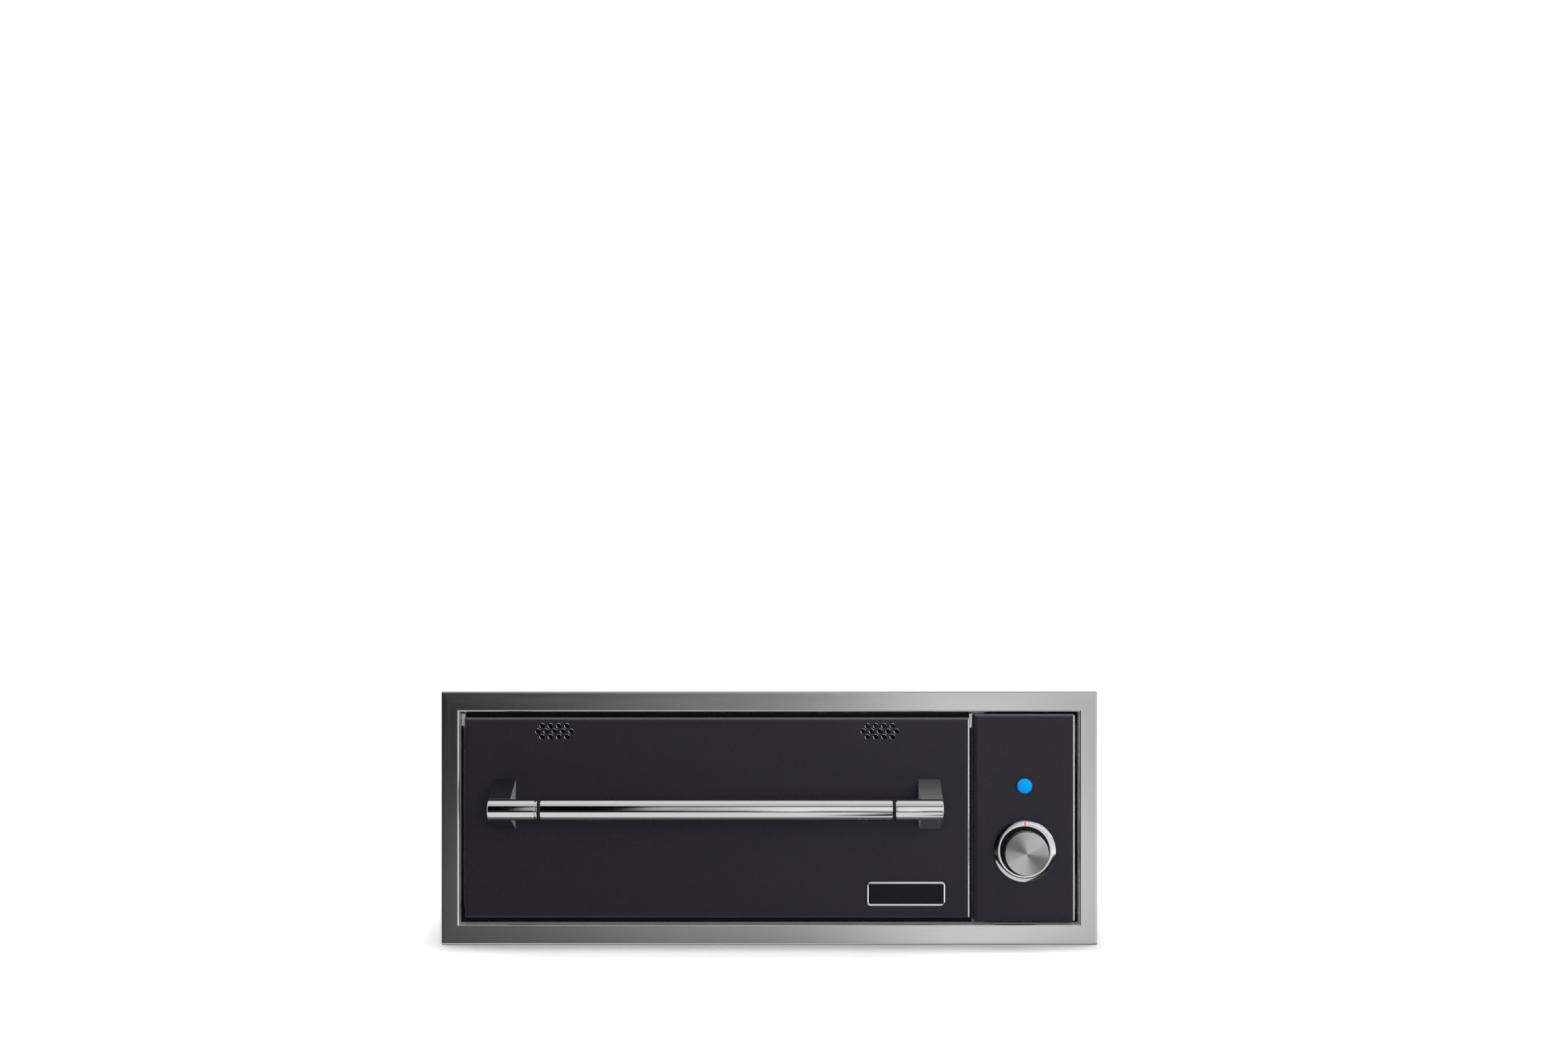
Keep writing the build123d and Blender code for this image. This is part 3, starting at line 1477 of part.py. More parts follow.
# Heights of the races above the slide's middle, from the outermost member inwards
slide_half = slide_height / 2
outer_ball_z = slide_half - slide_sheet - outer_ball_radius + slide_race_bite
middle_top = outer_ball_z - outer_ball_radius + slide_race_bite
inner_ball_z = middle_top - slide_sheet - inner_ball_radius + slide_race_bite
drawer_top = inner_ball_z - inner_ball_radius + slide_race_bite

# Depths of the members off the cavity's wall
outer_web = slide_sheet
outer_cage_start = outer_web + cage_gap
middle_start = outer_cage_start + cage_sheet + cage_gap
middle_web = middle_start + slide_sheet
inner_cage_start = middle_web + cage_gap
drawer_tip = inner_cage_start + cage_sheet + cage_gap
drawer_web = slide_thickness - slide_sheet
outer_lip_end = drawer_web - 2 * cage_gap
outer_lip_start = outer_lip_end - slide_sheet
middle_lip_end = outer_lip_start - cage_gap
middle_lip_start = middle_lip_end - slide_sheet
race_depth = (drawer_tip + middle_lip_start) / 2
middle_front = slide_front + middle_shorter
outer_cage_front = slide_front + drawer_travel / 4 + cage_margin
inner_cage_front = middle_front + drawer_travel / 4 + cage_margin

for side, wall_x, inward in (("left", cavity_left, 1), ("right", cavity_right, -1)):
    outer_balls = [(wall_x + inward * race_depth, slide_z + up * outer_ball_z) for up in (-1, 1)]
    inner_balls = [(wall_x + inward * race_depth, slide_z + up * inner_ball_z) for up in (-1, 1)]

    # member fixed to the cavity's wall, with curled lips over the outer races
    with BuildPart() as cabinet_member:
        with BuildSketch(upright(slide_front)):
            sheet_between(wall_x, wall_x + inward * outer_web, slide_z - slide_half, slide_z + slide_half)
            for up in (-1, 1):
                edge = slide_z + up * slide_half
                sheet_between(wall_x, wall_x + inward * outer_lip_end, edge - up * slide_sheet, edge)
                sheet_between(
                    wall_x + inward * outer_lip_start,
                    wall_x + inward * outer_lip_end,
                    edge - up * (slide_sheet + outer_ball_radius),
                    edge,
                )
            with Locations(*outer_balls):
                Circle(outer_ball_radius + ball_clearance, mode=Mode.SUBTRACT)
        extrude(amount=-slide_length)
    cabinet_member.part.label = f"{side}_slide_cabinet_member"
    export_step(cabinet_member.part, f"parts/{side}_slide_cabinet_member.step")

    # middle member, which rides between the two rows of balls
    with BuildPart() as middle_member:
        with BuildSketch(upright(middle_front)):
            sheet_between(
                wall_x + inward * middle_start,
                wall_x + inward * middle_web,
                slide_z - middle_top,
                slide_z + middle_top,
            )
            for up in (-1, 1):
                edge = slide_z + up * middle_top
                sheet_between(
                    wall_x + inward * middle_start,
                    wall_x + inward * middle_lip_end,
                    edge - up * slide_sheet,
                    edge,
                )
                sheet_between(
                    wall_x + inward * middle_lip_start,
                    wall_x + inward * middle_lip_end,
                    edge - up * (slide_sheet + inner_ball_radius),
                    edge,
                )
            with Locations(*outer_balls):
                Circle(outer_ball_radius + ball_clearance, mode=Mode.SUBTRACT)
            with Locations(*inner_balls):
                Circle(inner_ball_radius + ball_clearance, mode=Mode.SUBTRACT)
        extrude(amount=-(slide_length - 2 * middle_shorter))
    middle_member.part.label = f"{side}_slide_middle_member"
    export_step(middle_member.part, f"parts/{side}_slide_middle_member.step")

    # member fixed to the tub's side
    with BuildPart() as drawer_member:
        with BuildSketch(upright(slide_front)):
            sheet_between(
                wall_x + inward * drawer_web,
                wall_x + inward * slide_thickness,
                slide_z - drawer_top,
                slide_z + drawer_top,
            )
            for up in (-1, 1):
                edge = slide_z + up * drawer_top
                sheet_between(
                    wall_x + inward * drawer_tip,
                    wall_x + inward * slide_thickness,
                    edge - up * slide_sheet,
                    edge,
                )
            with Locations(*inner_balls):
                Circle(inner_ball_radius + ball_clearance, mode=Mode.SUBTRACT)
        extrude(amount=-slide_length)
    drawer_member.part.label = f"{side}_slide_drawer_member"
    export_step(drawer_member.part, f"parts/{side}_slide_drawer_member.step")

    # ball cages, thin channels that keep the rows of balls apart
    for name, start_u, end_u, ball_z, cage_front in (
        ("outer", outer_cage_start, outer_lip_start - cage_gap, outer_ball_z, outer_cage_front),
        ("inner", inner_cage_start, middle_lip_start - cage_gap, inner_ball_z, inner_cage_front),
    ):
        with BuildPart() as ball_cage:
            with BuildSketch(upright(cage_front)):
                sheet_between(
                    wall_x + inward * start_u,
                    wall_x + inward * (start_u + cage_sheet),
                    slide_z - ball_z - cage_sheet / 2,
                    slide_z + ball_z + cage_sheet / 2,
                )
                for up in (-1, 1):
                    sheet_between(
                        wall_x + inward * start_u,
                        wall_x + inward * end_u,
                        slide_z + up * ball_z - cage_sheet / 2,
                        slide_z + up * ball_z + cage_sheet / 2,
                    )
            extrude(amount=-cage_length)
        ball_cage.part.label = f"{side}_{name}_ball_cage"
        export_step(ball_cage.part, f"parts/{side}_{name}_ball_cage.step")

# ---------------------------------------------------------------- screws

# Alike hexagon-headed sheet screws: back cover, the lid's sides and the panel's lips
screw_groups = [
    (upright(casing_depth), back_screw_points, -1, back_sheet + casing_sheet),
    (upright(partition_sheet), panel_screw_points, -1, partition_sheet + panel_sheet),
]
lid_screw_points = [
    (lid_screw_y + step * lid_screw_spacing / 2, lid_screw_z) for step in (-1, 1)
]
lid_grip = casing_sheet + fold_gap + lid_sheet
for outward in (-1, 1):
    wall_plane = Plane.YZ.offset(outward * casing_width / 2)
    screw_groups.append((wall_plane, lid_screw_points, outward, lid_grip))
with BuildPart() as cover_screws:
    for seat, points, outward, grip in screw_groups:
        with BuildSketch(seat):
            with Locations(*points):
                RegularPolygon(screw_head_flats / 2, 6, major_radius=False)
        extrude(amount=outward * screw_head)
        with BuildSketch(seat):
            with Locations(*points):
                screw_outline()
        extrude(amount=-outward * grip)
cover_screws.part.label = "cover_screws"
export_step(cover_screws.part, "parts/cover_screws.step")
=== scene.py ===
import math
from collections import Counter

import bmesh
import bpy
from mathutils import Matrix, Vector


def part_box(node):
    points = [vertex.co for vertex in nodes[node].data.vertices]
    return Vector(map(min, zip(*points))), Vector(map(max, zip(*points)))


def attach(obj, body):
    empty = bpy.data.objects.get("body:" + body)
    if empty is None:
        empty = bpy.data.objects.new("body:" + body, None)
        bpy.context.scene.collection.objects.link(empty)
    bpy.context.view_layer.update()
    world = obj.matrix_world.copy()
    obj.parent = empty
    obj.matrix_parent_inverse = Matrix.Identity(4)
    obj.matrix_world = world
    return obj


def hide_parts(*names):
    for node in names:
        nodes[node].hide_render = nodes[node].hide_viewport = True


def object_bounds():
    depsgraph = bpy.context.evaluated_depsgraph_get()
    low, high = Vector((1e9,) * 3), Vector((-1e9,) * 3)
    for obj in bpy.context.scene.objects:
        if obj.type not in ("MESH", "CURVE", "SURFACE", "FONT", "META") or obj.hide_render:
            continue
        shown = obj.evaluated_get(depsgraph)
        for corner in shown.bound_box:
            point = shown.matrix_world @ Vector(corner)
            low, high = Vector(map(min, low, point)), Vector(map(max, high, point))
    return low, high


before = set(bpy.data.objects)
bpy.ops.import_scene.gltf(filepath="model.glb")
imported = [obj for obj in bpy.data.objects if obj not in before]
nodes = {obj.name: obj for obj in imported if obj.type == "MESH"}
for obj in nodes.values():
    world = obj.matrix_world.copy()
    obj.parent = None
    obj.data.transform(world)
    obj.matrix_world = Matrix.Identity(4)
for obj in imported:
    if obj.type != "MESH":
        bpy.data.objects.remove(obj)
cad_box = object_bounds()

# ---------------------------------------------------------------- view
# A level camera stands 2.4 m in front of the drawer and well above it, and sees the face
# square on.
camera_data = bpy.data.cameras.new("view")
camera_data.lens = 47.9
camera_data.sensor_width = 36.0
camera = bpy.data.objects.new("view", camera_data)
camera.location = (0.017, -2.416, 0.46435)
camera.rotation_euler = (math.radians(90), 0, 0)
bpy.context.scene.collection.objects.link(camera)
bpy.context.scene.camera = camera
bpy.context.scene.view_settings.view_transform = "Standard"

# ---------------------------------------------------------------- floor and room
# The unit stands on a pale studio floor that runs out to white. The room round it is white
# to the eye, and dimmer to the metal.


class Signal:
    """One socket of a node tree. Python's operators on it add Math nodes."""

    def __init__(self, tree, socket=None):
        self.tree = tree
        self.socket = socket

    def node(self, kind, settings=(), inputs=(), output=0):
        """Any other node: its settings first, then the values or links of its sockets."""
        made = self.tree.nodes.new(kind)
        for name, value in dict(settings).items():
            setattr(made, name, value)
        for name, value in dict(inputs).items():
            if isinstance(value, Signal):
                self.tree.links.new(value.socket, made.inputs[name])
            else:
                made.inputs[name].default_value = value
        return Signal(self.tree, made.outputs[output])

    def math(self, operation, *values):
        """A Math node."""
        return self.node("ShaderNodeMath", {"operation": operation}, enumerate(values))

    def __add__(self, other):
        return self.math("ADD", self, other)

    def __sub__(self, other):
        return self.math("SUBTRACT", self, other)

    def __rsub__(self, other):
        return self.math("SUBTRACT", other, self)

    def __mul__(self, other):
        return self.math("MULTIPLY", self, other)

    def __truediv__(self, other):
        return self.math("DIVIDE", self, other)

    def __pow__(self, other):
        return self.math("POWER", self, other)

    __radd__ = __add__
    __rmul__ = __mul__


def finish(name, **steady):
    """A material, its shader with the steady values set on its sockets, and its tree."""
    material = bpy.data.materials.new(name)
    material.use_nodes = True
    shader = material.node_tree.nodes["Principled BSDF"]
    for socket, value in steady.items():
        shader.inputs[socket.replace("_", " ")].default_value = value
    return material, shader, Signal(material.node_tree)


def feed(shader, **signals):
    """Links what changes over the surface to the shader."""
    for socket, signal in signals.items():
        signal.tree.links.new(signal.socket, shader.inputs[socket.replace("_", " ")])


def blend(factor, first, second):
    """Colour between two colours."""
    return factor.node(
        "ShaderNodeMix", {"data_type": "RGBA"}, {0: factor, 6: first, 7: second}, 2
    )


def rise(signal, start, end):
    """Smooth step from 0 to 1 as the signal goes from start to end."""
    settings = {"interpolation_type": "SMOOTHSTEP"}
    return signal.node("ShaderNodeMapRange", settings, {0: signal, 1: start, 2: end})


def band(signal, start, full, fade, end):
    """1 between full and fade, running out to 0 at start and end."""
    return rise(signal, start, full) * rise(signal, end, fade)


def vector_math(operation, first, second=(0, 0, 0), output=0):
    """One Vector Math node."""
    settings = {"operation": operation}
    return first.node("ShaderNodeVectorMath", settings, {0: first, 1: second}, output)


def split(vector, axes="XYZ"):
    """The parts of a vector along the named axes."""
    return [vector.node("ShaderNodeSeparateXYZ", (), {0: vector}, axis) for axis in axes]


def cloud(tree, stretch, detail=3.0, roughness=0.6):
    """Noise over the piece's own coordinates, stretched by three scales per metre."""
    place = vector_math("MULTIPLY", tree.node("ShaderNodeTexCoord", output="Object"), stretch)
    inputs = {"Vector": place, "Scale": 1.0, "Detail": detail, "Roughness": roughness}
    return place.node("ShaderNodeTexNoise", (), inputs)


def to_mesh(name, bm):
    """The mesh of a finished shape."""
    mesh = bpy.data.meshes.new(name)
    bm.to_mesh(mesh)
    bm.free()
    return mesh


def new_object(name, mesh, material, place=None):
    """Object with one material, placed by a matrix."""
    made = bpy.data.objects.new(name, mesh)
    bpy.context.scene.collection.objects.link(made)
    mesh.materials.append(material)
    if place is not None:
        made.matrix_world = place
    return made


floor_level = cad_box[0][2]
floor_reach = 9.0
floor_gap = 0.0002
footprint_middle = (0.0, 0.28, 0.0)
footprint_half = (0.35, 0.28, 0.0)
shadow_from, shadow_to = 0.02, 0.165
floor_finish, shader, tree = finish(
    "studio_floor", Roughness=0.9, Emission_Strength=1.0, Specular_IOR_Level=0.0
)
place = tree.node("ShaderNodeTexCoord", output="Object")
place = vector_math("ABSOLUTE", vector_math("SUBTRACT", place, footprint_middle))
place = vector_math("MAXIMUM", vector_math("SUBTRACT", place, footprint_half))
away = rise(vector_math("LENGTH", place, output="Value"), shadow_from, shadow_to)
grain = cloud(tree, (3.0, 3.0, 3.0))
near = blend(grain, (0.60, 0.60, 0.60, 1), (0.62, 0.62, 0.62, 1))
feed(shader, Base_Color=near)
seen = tree.node("ShaderNodeLightPath", output="Is Camera Ray")
runs_out = blend(away, (0.02, 0.02, 0.02, 1), (1, 1, 1, 1))
feed(shader, Emission_Color=blend(seen, (0, 0, 0, 1), runs_out))
bm = bmesh.new()
bmesh.ops.create_grid(bm, x_segments=6, y_segments=6, size=floor_reach)
place = Matrix.Translation((0, 0, floor_level - floor_gap))
studio_floor = new_object("studio_floor", to_mesh("studio_floor", bm), floor_finish, place)
studio_floor.visible_glossy = False

world = bpy.data.worlds.new("room")
bpy.context.scene.world = world
world.use_nodes = True
tree = Signal(world.node_tree)
way = tree.node("ShaderNodeTexCoord", output="Generated")
way_x, way_y, way_z = split(way)

# In front of the unit the metal mirrors what is set out here by direction: across counts to
# the right and way_z up. A low grey wall gets lighter in steps to the right, soft boxes stand
# over it, and a dim ceiling and a pale ground close the room.
from_front = rise(way_y, -0.25, -0.5)
across = way_x / way_y.math("MAXIMUM", way_y.math("ABSOLUTE", way_y), 0.05)
wall_steps = ((0.27, -0.125, -0.035), (1.06, 0.0, 0.088), (-0.58, 0.112, 0.13), (0.5, 0.22, 0.3))
wall_light = 0.12 * rise(way_z, -0.09, -0.16) * rise(across, -0.185, -0.14)
wall_light = wall_light + 0.1 * rise(way_z, -0.09, -0.18)
for share, start, end in wall_steps:
    wall_light = wall_light + share * rise(across, start, end)
low_wall = band(way_z, -0.228, -0.205, -0.045, -0.02)
low_wall = low_wall * (0.85 + 0.15 * rise(way_z, -0.085, -0.17))
soft_box = (0.46 + 0.46 * rise(across, -0.1, 0.12)) * rise(across, -0.2, -0.125)
light_bars = band(way_z, -0.045, -0.02, 0.58, 0.60) + band(way_z, 0.2, 0.215, 0.245, 0.26)
overhead = rise(way_z, 0.68, 0.71) * (0.62 - 0.12 * rise(way_z, 0.93, 0.96))
ground = rise(way_z, -0.38, -0.41) * (1 - 0.96 * rise(across, 0.2, 0.36))
studio = low_wall * wall_light + light_bars * soft_box + overhead + ground * 0.88
behind = 0.84 + 2.2 * rise(way_y, 0.74, 0.84) * band(way_z, -0.1, 0.0, 0.42, 0.52)
behind = behind * (1 - 0.9 * rise(way_z, -0.5, -0.7) * rise(way_y, -0.1, 0.0))
mirrored = studio * from_front + (1 - from_front) * behind
seen = tree.node("ShaderNodeLightPath", output="Is Glossy Ray")
plain = tree.node("ShaderNodeLightPath", output="Is Diffuse Ray")
strength = mirrored * seen + (1 - seen) * (1 - 0.7 * plain)
background = world.node_tree.nodes["Background"]
background.inputs["Color"].default_value = (1, 1, 1, 1)
world.node_tree.links.new(strength.socket, background.inputs["Strength"])

# ---------------------------------------------------------------- lamps
# Large soft boxes hang before, over, beside and behind the unit. The metal doesn't mirror
# them: it mirrors the room.


def lamp(name, place, target, size, power):
    """Soft box at a place, turned to a target, with its width and height."""
    data = bpy.data.lights.new(name, "AREA")
    data.shape = "RECTANGLE"
    data.size, data.size_y = size
    data.energy = power
    made = bpy.data.objects.new(name, data)
    made.location = place
    made.rotation_euler = (Vector(target) - Vector(place)).to_track_quat("-Z", "Y").to_euler()
    made.visible_camera = False
    made.visible_glossy = False
    bpy.context.scene.collection.objects.link(made)


lamp("front_box", (0.4, -3.2, 1.0), (0.0, 0.0, 0.1), (2.6, 1.2), 90.0)
lamp("over_box", (0.0, 0.3, 2.2), (0.0, 0.3, 0.1), (2.6, 0.6), 66.0)
lamp("strip_box", (1.7, -1.3, 1.15), (0.3, 0.0, 0.1), (0.45, 0.8), 16.0)
lamp("right_box", (2.4, 0.2, 1.0), (0.1, 0.3, 0.1), (1.2, 1.2), 22.0)
lamp("left_box", (-2.4, 0.2, 1.0), (-0.1, 0.3, 0.1), (1.2, 1.2), 22.0)
lamp("back_box", (0.0, 3.0, 1.2), (0.0, 0.4, 0.1), (2.4, 1.2), 60.0)

# ---------------------------------------------------------------- trim frame
# Flush trim, folded from one stainless sheet to a channel and mitred at the corners. It is
# ground along each limb with a belt.
sheet = 0.0012


def weigh_normals(piece):
    """Keeps flat faces flat in the light where bends run into them."""
    made = piece.modifiers.new("normals", "WEIGHTED_NORMAL")
    made.keep_sharp = True


def thicken(piece, thickness):
    """Gives a skin the thickness of its sheet, towards its inside."""
    made = piece.modifiers.new("sheet", "SOLIDIFY")
    made.thickness = thickness
    made.offset = -1.0


def smooth_by_angle(mesh, degrees):
    """Smooth shading, with creases at open edges and where faces meet more sharply than
    the angle."""
    for polygon in mesh.polygons:
        polygon.use_smooth = True
    mesh.set_sharp_from_angle(angle=math.radians(degrees))
    uses = Counter(key for polygon in mesh.polygons for key in polygon.edge_keys)
    for edge in mesh.edges:
        if uses[edge.key] == 1:
            edge.use_edge_sharp = True


def corner_loop(left, right, low, high, radius, steps):
    """Points round a rectangle in X and Z whose corners are arcs of that radius."""
    points = []
    for centre_x, centre_z, start in (
        (right - radius, high - radius, 0),
        (left + radius, high - radius, 90),
        (left + radius, low + radius, 180),
        (right - radius, low + radius, 270),
    ):
        for step in range(steps + 1):
            angle = math.radians(start + 90 * step / steps)
            points.append(
                (centre_x + radius * math.cos(angle), centre_z + radius * math.sin(angle))
            )
    return points


def bend(centre_in, centre_y, radius, start, end, steps=6):
    """Points (inset, depth) along a bend of the sheet, between two angles."""
    angles = [math.radians(start + (end - start) * step / steps) for step in range(steps + 1)]
    return [
        (centre_in - radius * math.cos(angle), centre_y - radius * math.sin(angle))
        for angle in angles
    ]


def folded_ring(edges, section, corner, steps=4):
    """Skin that carries a section round a rectangle. Section points are (inset in x,
    inset in z, depth), from the outside inwards."""
    left, right, low, high = edges
    least_radius = 0.0001
    bm = bmesh.new()
    loops = []
    for inset_x, inset_z, depth in section:
        radius = max(corner - min(inset_x, inset_z), least_radius)
        outline = corner_loop(
            left + inset_x, right - inset_x, low + inset_z, high - inset_z, radius, steps
        )
        loops.append([bm.verts.new((x, depth, z)) for x, z in outline])
    count = len(loops[0])
    for outer, inner in zip(loops, loops[1:]):
        for index in range(count):
            after = (index + 1) % count
            side = bm.faces.new((outer[index], outer[after], inner[after], inner[index]))
            # sides that lie nearer to the uprights than to the rails take the second finish
            middle = side.calc_center_median()
            reach_x = min(middle.x - left, right - middle.x)
            reach_z = min(middle.z - low, high - middle.z)
            side.material_index = 1 if reach_x < reach_z else 0
    return bm, loops


def shades(tint, darker, lighter):
    """A darker and a lighter shade of a tint."""
    return [[min(share * part, 1.0) for part in tint] + [1] for share in (darker, lighter)]


def emboss(shader, height, strength, depth):
    """Fine relief in the surface."""
    inputs = {"Strength": strength, "Distance": depth, "Height": height}
    feed(shader, Normal=height.node("ShaderNodeBump", (), inputs))


def satin(name, tint, metal, roughness):
    """Cut and folded edges of the sheet, dull enough to catch the light of the lamps."""
    material, shader, tree = finish(name, Metallic=metal)
    marks = cloud(tree, (800.0, 800.0, 800.0), 2.0)
    colour = blend(marks, *shades(tint, 0.9, 1.1))
    feed(shader, Base_Color=colour, Roughness=roughness + 0.1 * marks)
    return material


def brushed(name, tint, roughness, along, scratch):
    """Ground stainless steel: fine scratches along one axis over broad, faint bands."""
    material, shader, tree = finish(name, Metallic=1.0)
    fine = [1500.0, 1500.0, 1500.0]
    fine[along] = 14.0
    broad = [60.0, 60.0, 60.0]
    broad[along] = 2.0
    scratches = cloud(tree, fine, 4.0, 0.7)
    bands = cloud(tree, broad, 2.0, 0.5)
    feed(shader, Roughness=roughness + scratch * (scratches - 0.5) + 0.08 * (bands - 0.5))
    shade = 0.5 + 0.7 * (scratches - 0.5) + 0.3 * (bands - 0.5)
    feed(shader, Base_Color=blend(shade, *shades(tint, 0.86, 1.14)))
    emboss(shader, scratches, 0.1, 0.00002)
    return material


trim_low, trim_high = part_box("trim_frame")
trim_front = trim_low[1]
trim_corner = 0.0022
side_face = 0.0215
rail_face = 0.024
trim_bend = 0.0024
fold_crease = 50
rail_margin = 0.001
bend_y = trim_front + trim_bend
outer_bend = [(a, a, b) for a, b in bend(trim_bend, bend_y, trim_bend, 0, 90)]
inner_bend = [
    (side_face - trim_bend + a, rail_face - trim_bend + a, b)
    for a, b in bend(0.0, bend_y, trim_bend, 90, 180)
]
trim_section = [(0.0, 0.0, 0.0), *outer_bend, *inner_bend, (side_face, rail_face, -sheet)]
trim_edges = (trim_low[0], trim_high[0], trim_low[2], trim_high[2])
bm, _ = folded_ring(trim_edges, trim_section, trim_corner)
bmesh.ops.recalc_face_normals(bm, faces=bm.faces)
for face in bm.faces:
    # the inner returns of the uprights and of the bottom rail take the third finish
    middle = face.calc_center_median()
    if middle.y > bend_y and abs(face.normal.y) < 0.1:
        inside = abs(middle.x) < trim_high[0] - 0.5 * side_face
        low_rail = middle.z < trim_low[2] + rail_face + rail_margin
        if inside and (face.material_index == 1 or low_rail):
            face.material_index = 2
mesh = to_mesh("trim", bm)
smooth_by_angle(mesh, fold_crease)
steel_tint = (0.56, 0.56, 0.565)
rail_steel = brushed("trim_rail_steel", steel_tint, 0.14, 0, 0.08)
upright_steel = brushed("trim_upright_steel", steel_tint, 0.14, 2, 0.08)
trim = new_object("trim", mesh, rail_steel)
mesh.materials.append(upright_steel)
return_steel = satin("return_steel", (0.66, 0.66, 0.67), 0.3, 0.3)
mesh.materials.append(return_steel)
thicken(trim, sheet)
weigh_normals(trim)
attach(trim, "cabinet")
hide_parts("trim_frame")

# ---------------------------------------------------------------- drawer cover
# Dark front of the drawer, a shallow folded steel tray with powder paint, pierced by two
# groups of thirteen vent holes.


def fill_face(bm, rim, holes):
    """Closes the flat front inside a rim, round the holes."""
    edges = []
    for loop in [rim, *holes]:
        for first, second in zip(loop, loop[1:] + loop[:1]):
            edges.append(bm.edges.get((first, second)) or bm.edges.new((first, second)))
    bmesh.ops.triangle_fill(bm, use_beauty=True, use_dissolve=False, edges=edges)


def outward(mesh):
    """Turns a skin's faces so that its front looks at the viewer."""
    widest = max(mesh.polygons, key=lambda polygon: polygon.area)
    if widest.normal.y > 0:
        mesh.flip_normals()


def folded_tray(name, low, high, holes, dish=0.0):
    """Skin of a tray in a box, with bent edges and round holes given as (x, z, radius),
    dished at their edges where a width is given."""
    front, back = low[1], high[1]
    radius = 0.003
    corner = 0.0022
    crown = 1.6
    dish_slope = 0.45
    dish_crease = 23
    hole_steps = 24
    section = [(0.0, 0.0, back)] + [
        (a * crown, a * crown, b) for a, b in bend(radius, front + radius, radius, 0, 90, 10)
    ]
    bm, loops = folded_ring((low[0], high[0], low[2], high[2]), section, corner)
    rings = []
    dished = []
    for x, z, hole_radius in holes:
        rows = []
        for wider, depth in ((dish, 0.0), (0.0, dish_slope * dish)):
            row = []
            for step in range(hole_steps):
                angle = 2 * math.pi * step / hole_steps
                reach = hole_radius + wider
                point = (x + reach * math.cos(angle), front + depth, z + reach * math.sin(angle))
                row.append(bm.verts.new(point))
            rows.append(row)
            if dish == 0:
                break
        rings.append(rows[0])
        for step in range(hole_steps if dish else 0):
            after = (step + 1) % hole_steps
            corners = (rows[0][step], rows[0][after], rows[1][after], rows[1][step])
            dished.append(bm.faces.new(corners))
    fill_face(bm, loops[-1], rings)
    for face in bm.faces:
        face.material_index = 0
    for face in dished:
        face.material_index = 2
    bmesh.ops.recalc_face_normals(bm, faces=bm.faces)
    mesh = to_mesh(name, bm)
    smooth_by_angle(mesh, dish_crease if dish else fold_crease)
    outward(mesh)
    return mesh


def dark_paint(name, tint):
    """Charcoal paint with a fine orange peel. The right-facing fold, and a little the top fold,
    are painted bright steel as a painted highlight."""
    material, shader, tree = finish(name, Specular_IOR_Level=0.18)
    peel = cloud(tree, (420.0, 420.0, 420.0), 2.0)
    drift = cloud(tree, (60.0, 60.0, 60.0), 2.0)
    facing_x, facing_z = split(tree.node("ShaderNodeTexCoord", output="Normal"), "XZ")
    # painted highlight: folds facing right, and faintly those facing up, get bright metal colour
    highlight_fold = rise(facing_x, 0.3, 0.6) + 0.1 * rise(facing_z, 0.3, 0.6)
    painted = blend(0.5 * peel + 0.5 * drift, *shades(tint, 0.92, 1.08))
    feed(shader, Base_Color=blend(highlight_fold, painted, (0.9, 0.9, 0.91, 1)))
    feed(shader, Roughness=0.24 + 0.06 * drift, Metallic=0.9 * highlight_fold)
    emboss(shader, peel, 0.05, 0.0002)
    return material


cover_low, cover_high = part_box("front_cover")
cover_middle = (cover_low[0] + cover_high[0]) / 2
vent_spread = 0.18715
vent_drop = 0.01545
vent_z = cover_high[2] - vent_drop
vent_pitch = 0.00955
vent_row = 0.0063
vent_radius = 0.00255
vent_dish = 0.0005
vent_holes = []
for group in (-1, 1):
    for row, count in ((-1, 4), (0, 5), (1, 4)):
        for place in range(count):
            x = cover_middle + group * vent_spread + (place - (count - 1) / 2) * vent_pitch
            vent_holes.append((x, vent_z + row * vent_row, vent_radius))
mesh = folded_tray("cover", cover_low, cover_high, vent_holes, vent_dish)
cover_paint = dark_paint("charcoal_paint", (0.0122, 0.0110, 0.0142))
cover = new_object("cover", mesh, cover_paint)
mesh.materials.append(return_steel)
mesh.materials.append(upright_steel)
thicken(cover, sheet)
cover.modifiers["sheet"].material_offset_rim = 1
weigh_normals(cover)
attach(cover, "drawer")
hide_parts("front_cover")

# ---------------------------------------------------------------- control panel
# Painted tray like the cover, screwed in place at the right, with holes for the lamp and the
# knob's shaft.
panel_low, panel_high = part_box("control_panel")
knob_low, knob_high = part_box("knob")
control_x = (knob_low[0] + knob_high[0]) / 2
knob_z = (knob_low[2] + knob_high[2]) / 2
lens_low, lens_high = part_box("lamp_lens")
lamp_z = (lens_low[2] + lens_high[2]) / 2
lamp_hole = 0.0081
shaft_hole = 0.0053
panel_holes = [(control_x, lamp_z, lamp_hole), (control_x, knob_z, shaft_hole)]


def repaint(material, *names):
    """Gives CAD nodes a new finish."""
    for name in names:
        nodes[name].data.materials.clear()
        nodes[name].data.materials.append(material)


mesh = folded_tray("panel", panel_low, panel_high, panel_holes)
panel = new_object("panel", mesh, cover_paint)
thicken(panel, sheet)
weigh_normals(panel)
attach(panel, "cabinet")
repaint(cover_paint, "control_panel")
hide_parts("control_panel")

# ---------------------------------------------------------------- handle bar
# Polished stainless bar: two turned end sleeves with slightly domed ends, a middle tube, a
# thin bright ring at the left and black rubber rings in both grooves.
turned_crease = 35
on_axis = 1e-6


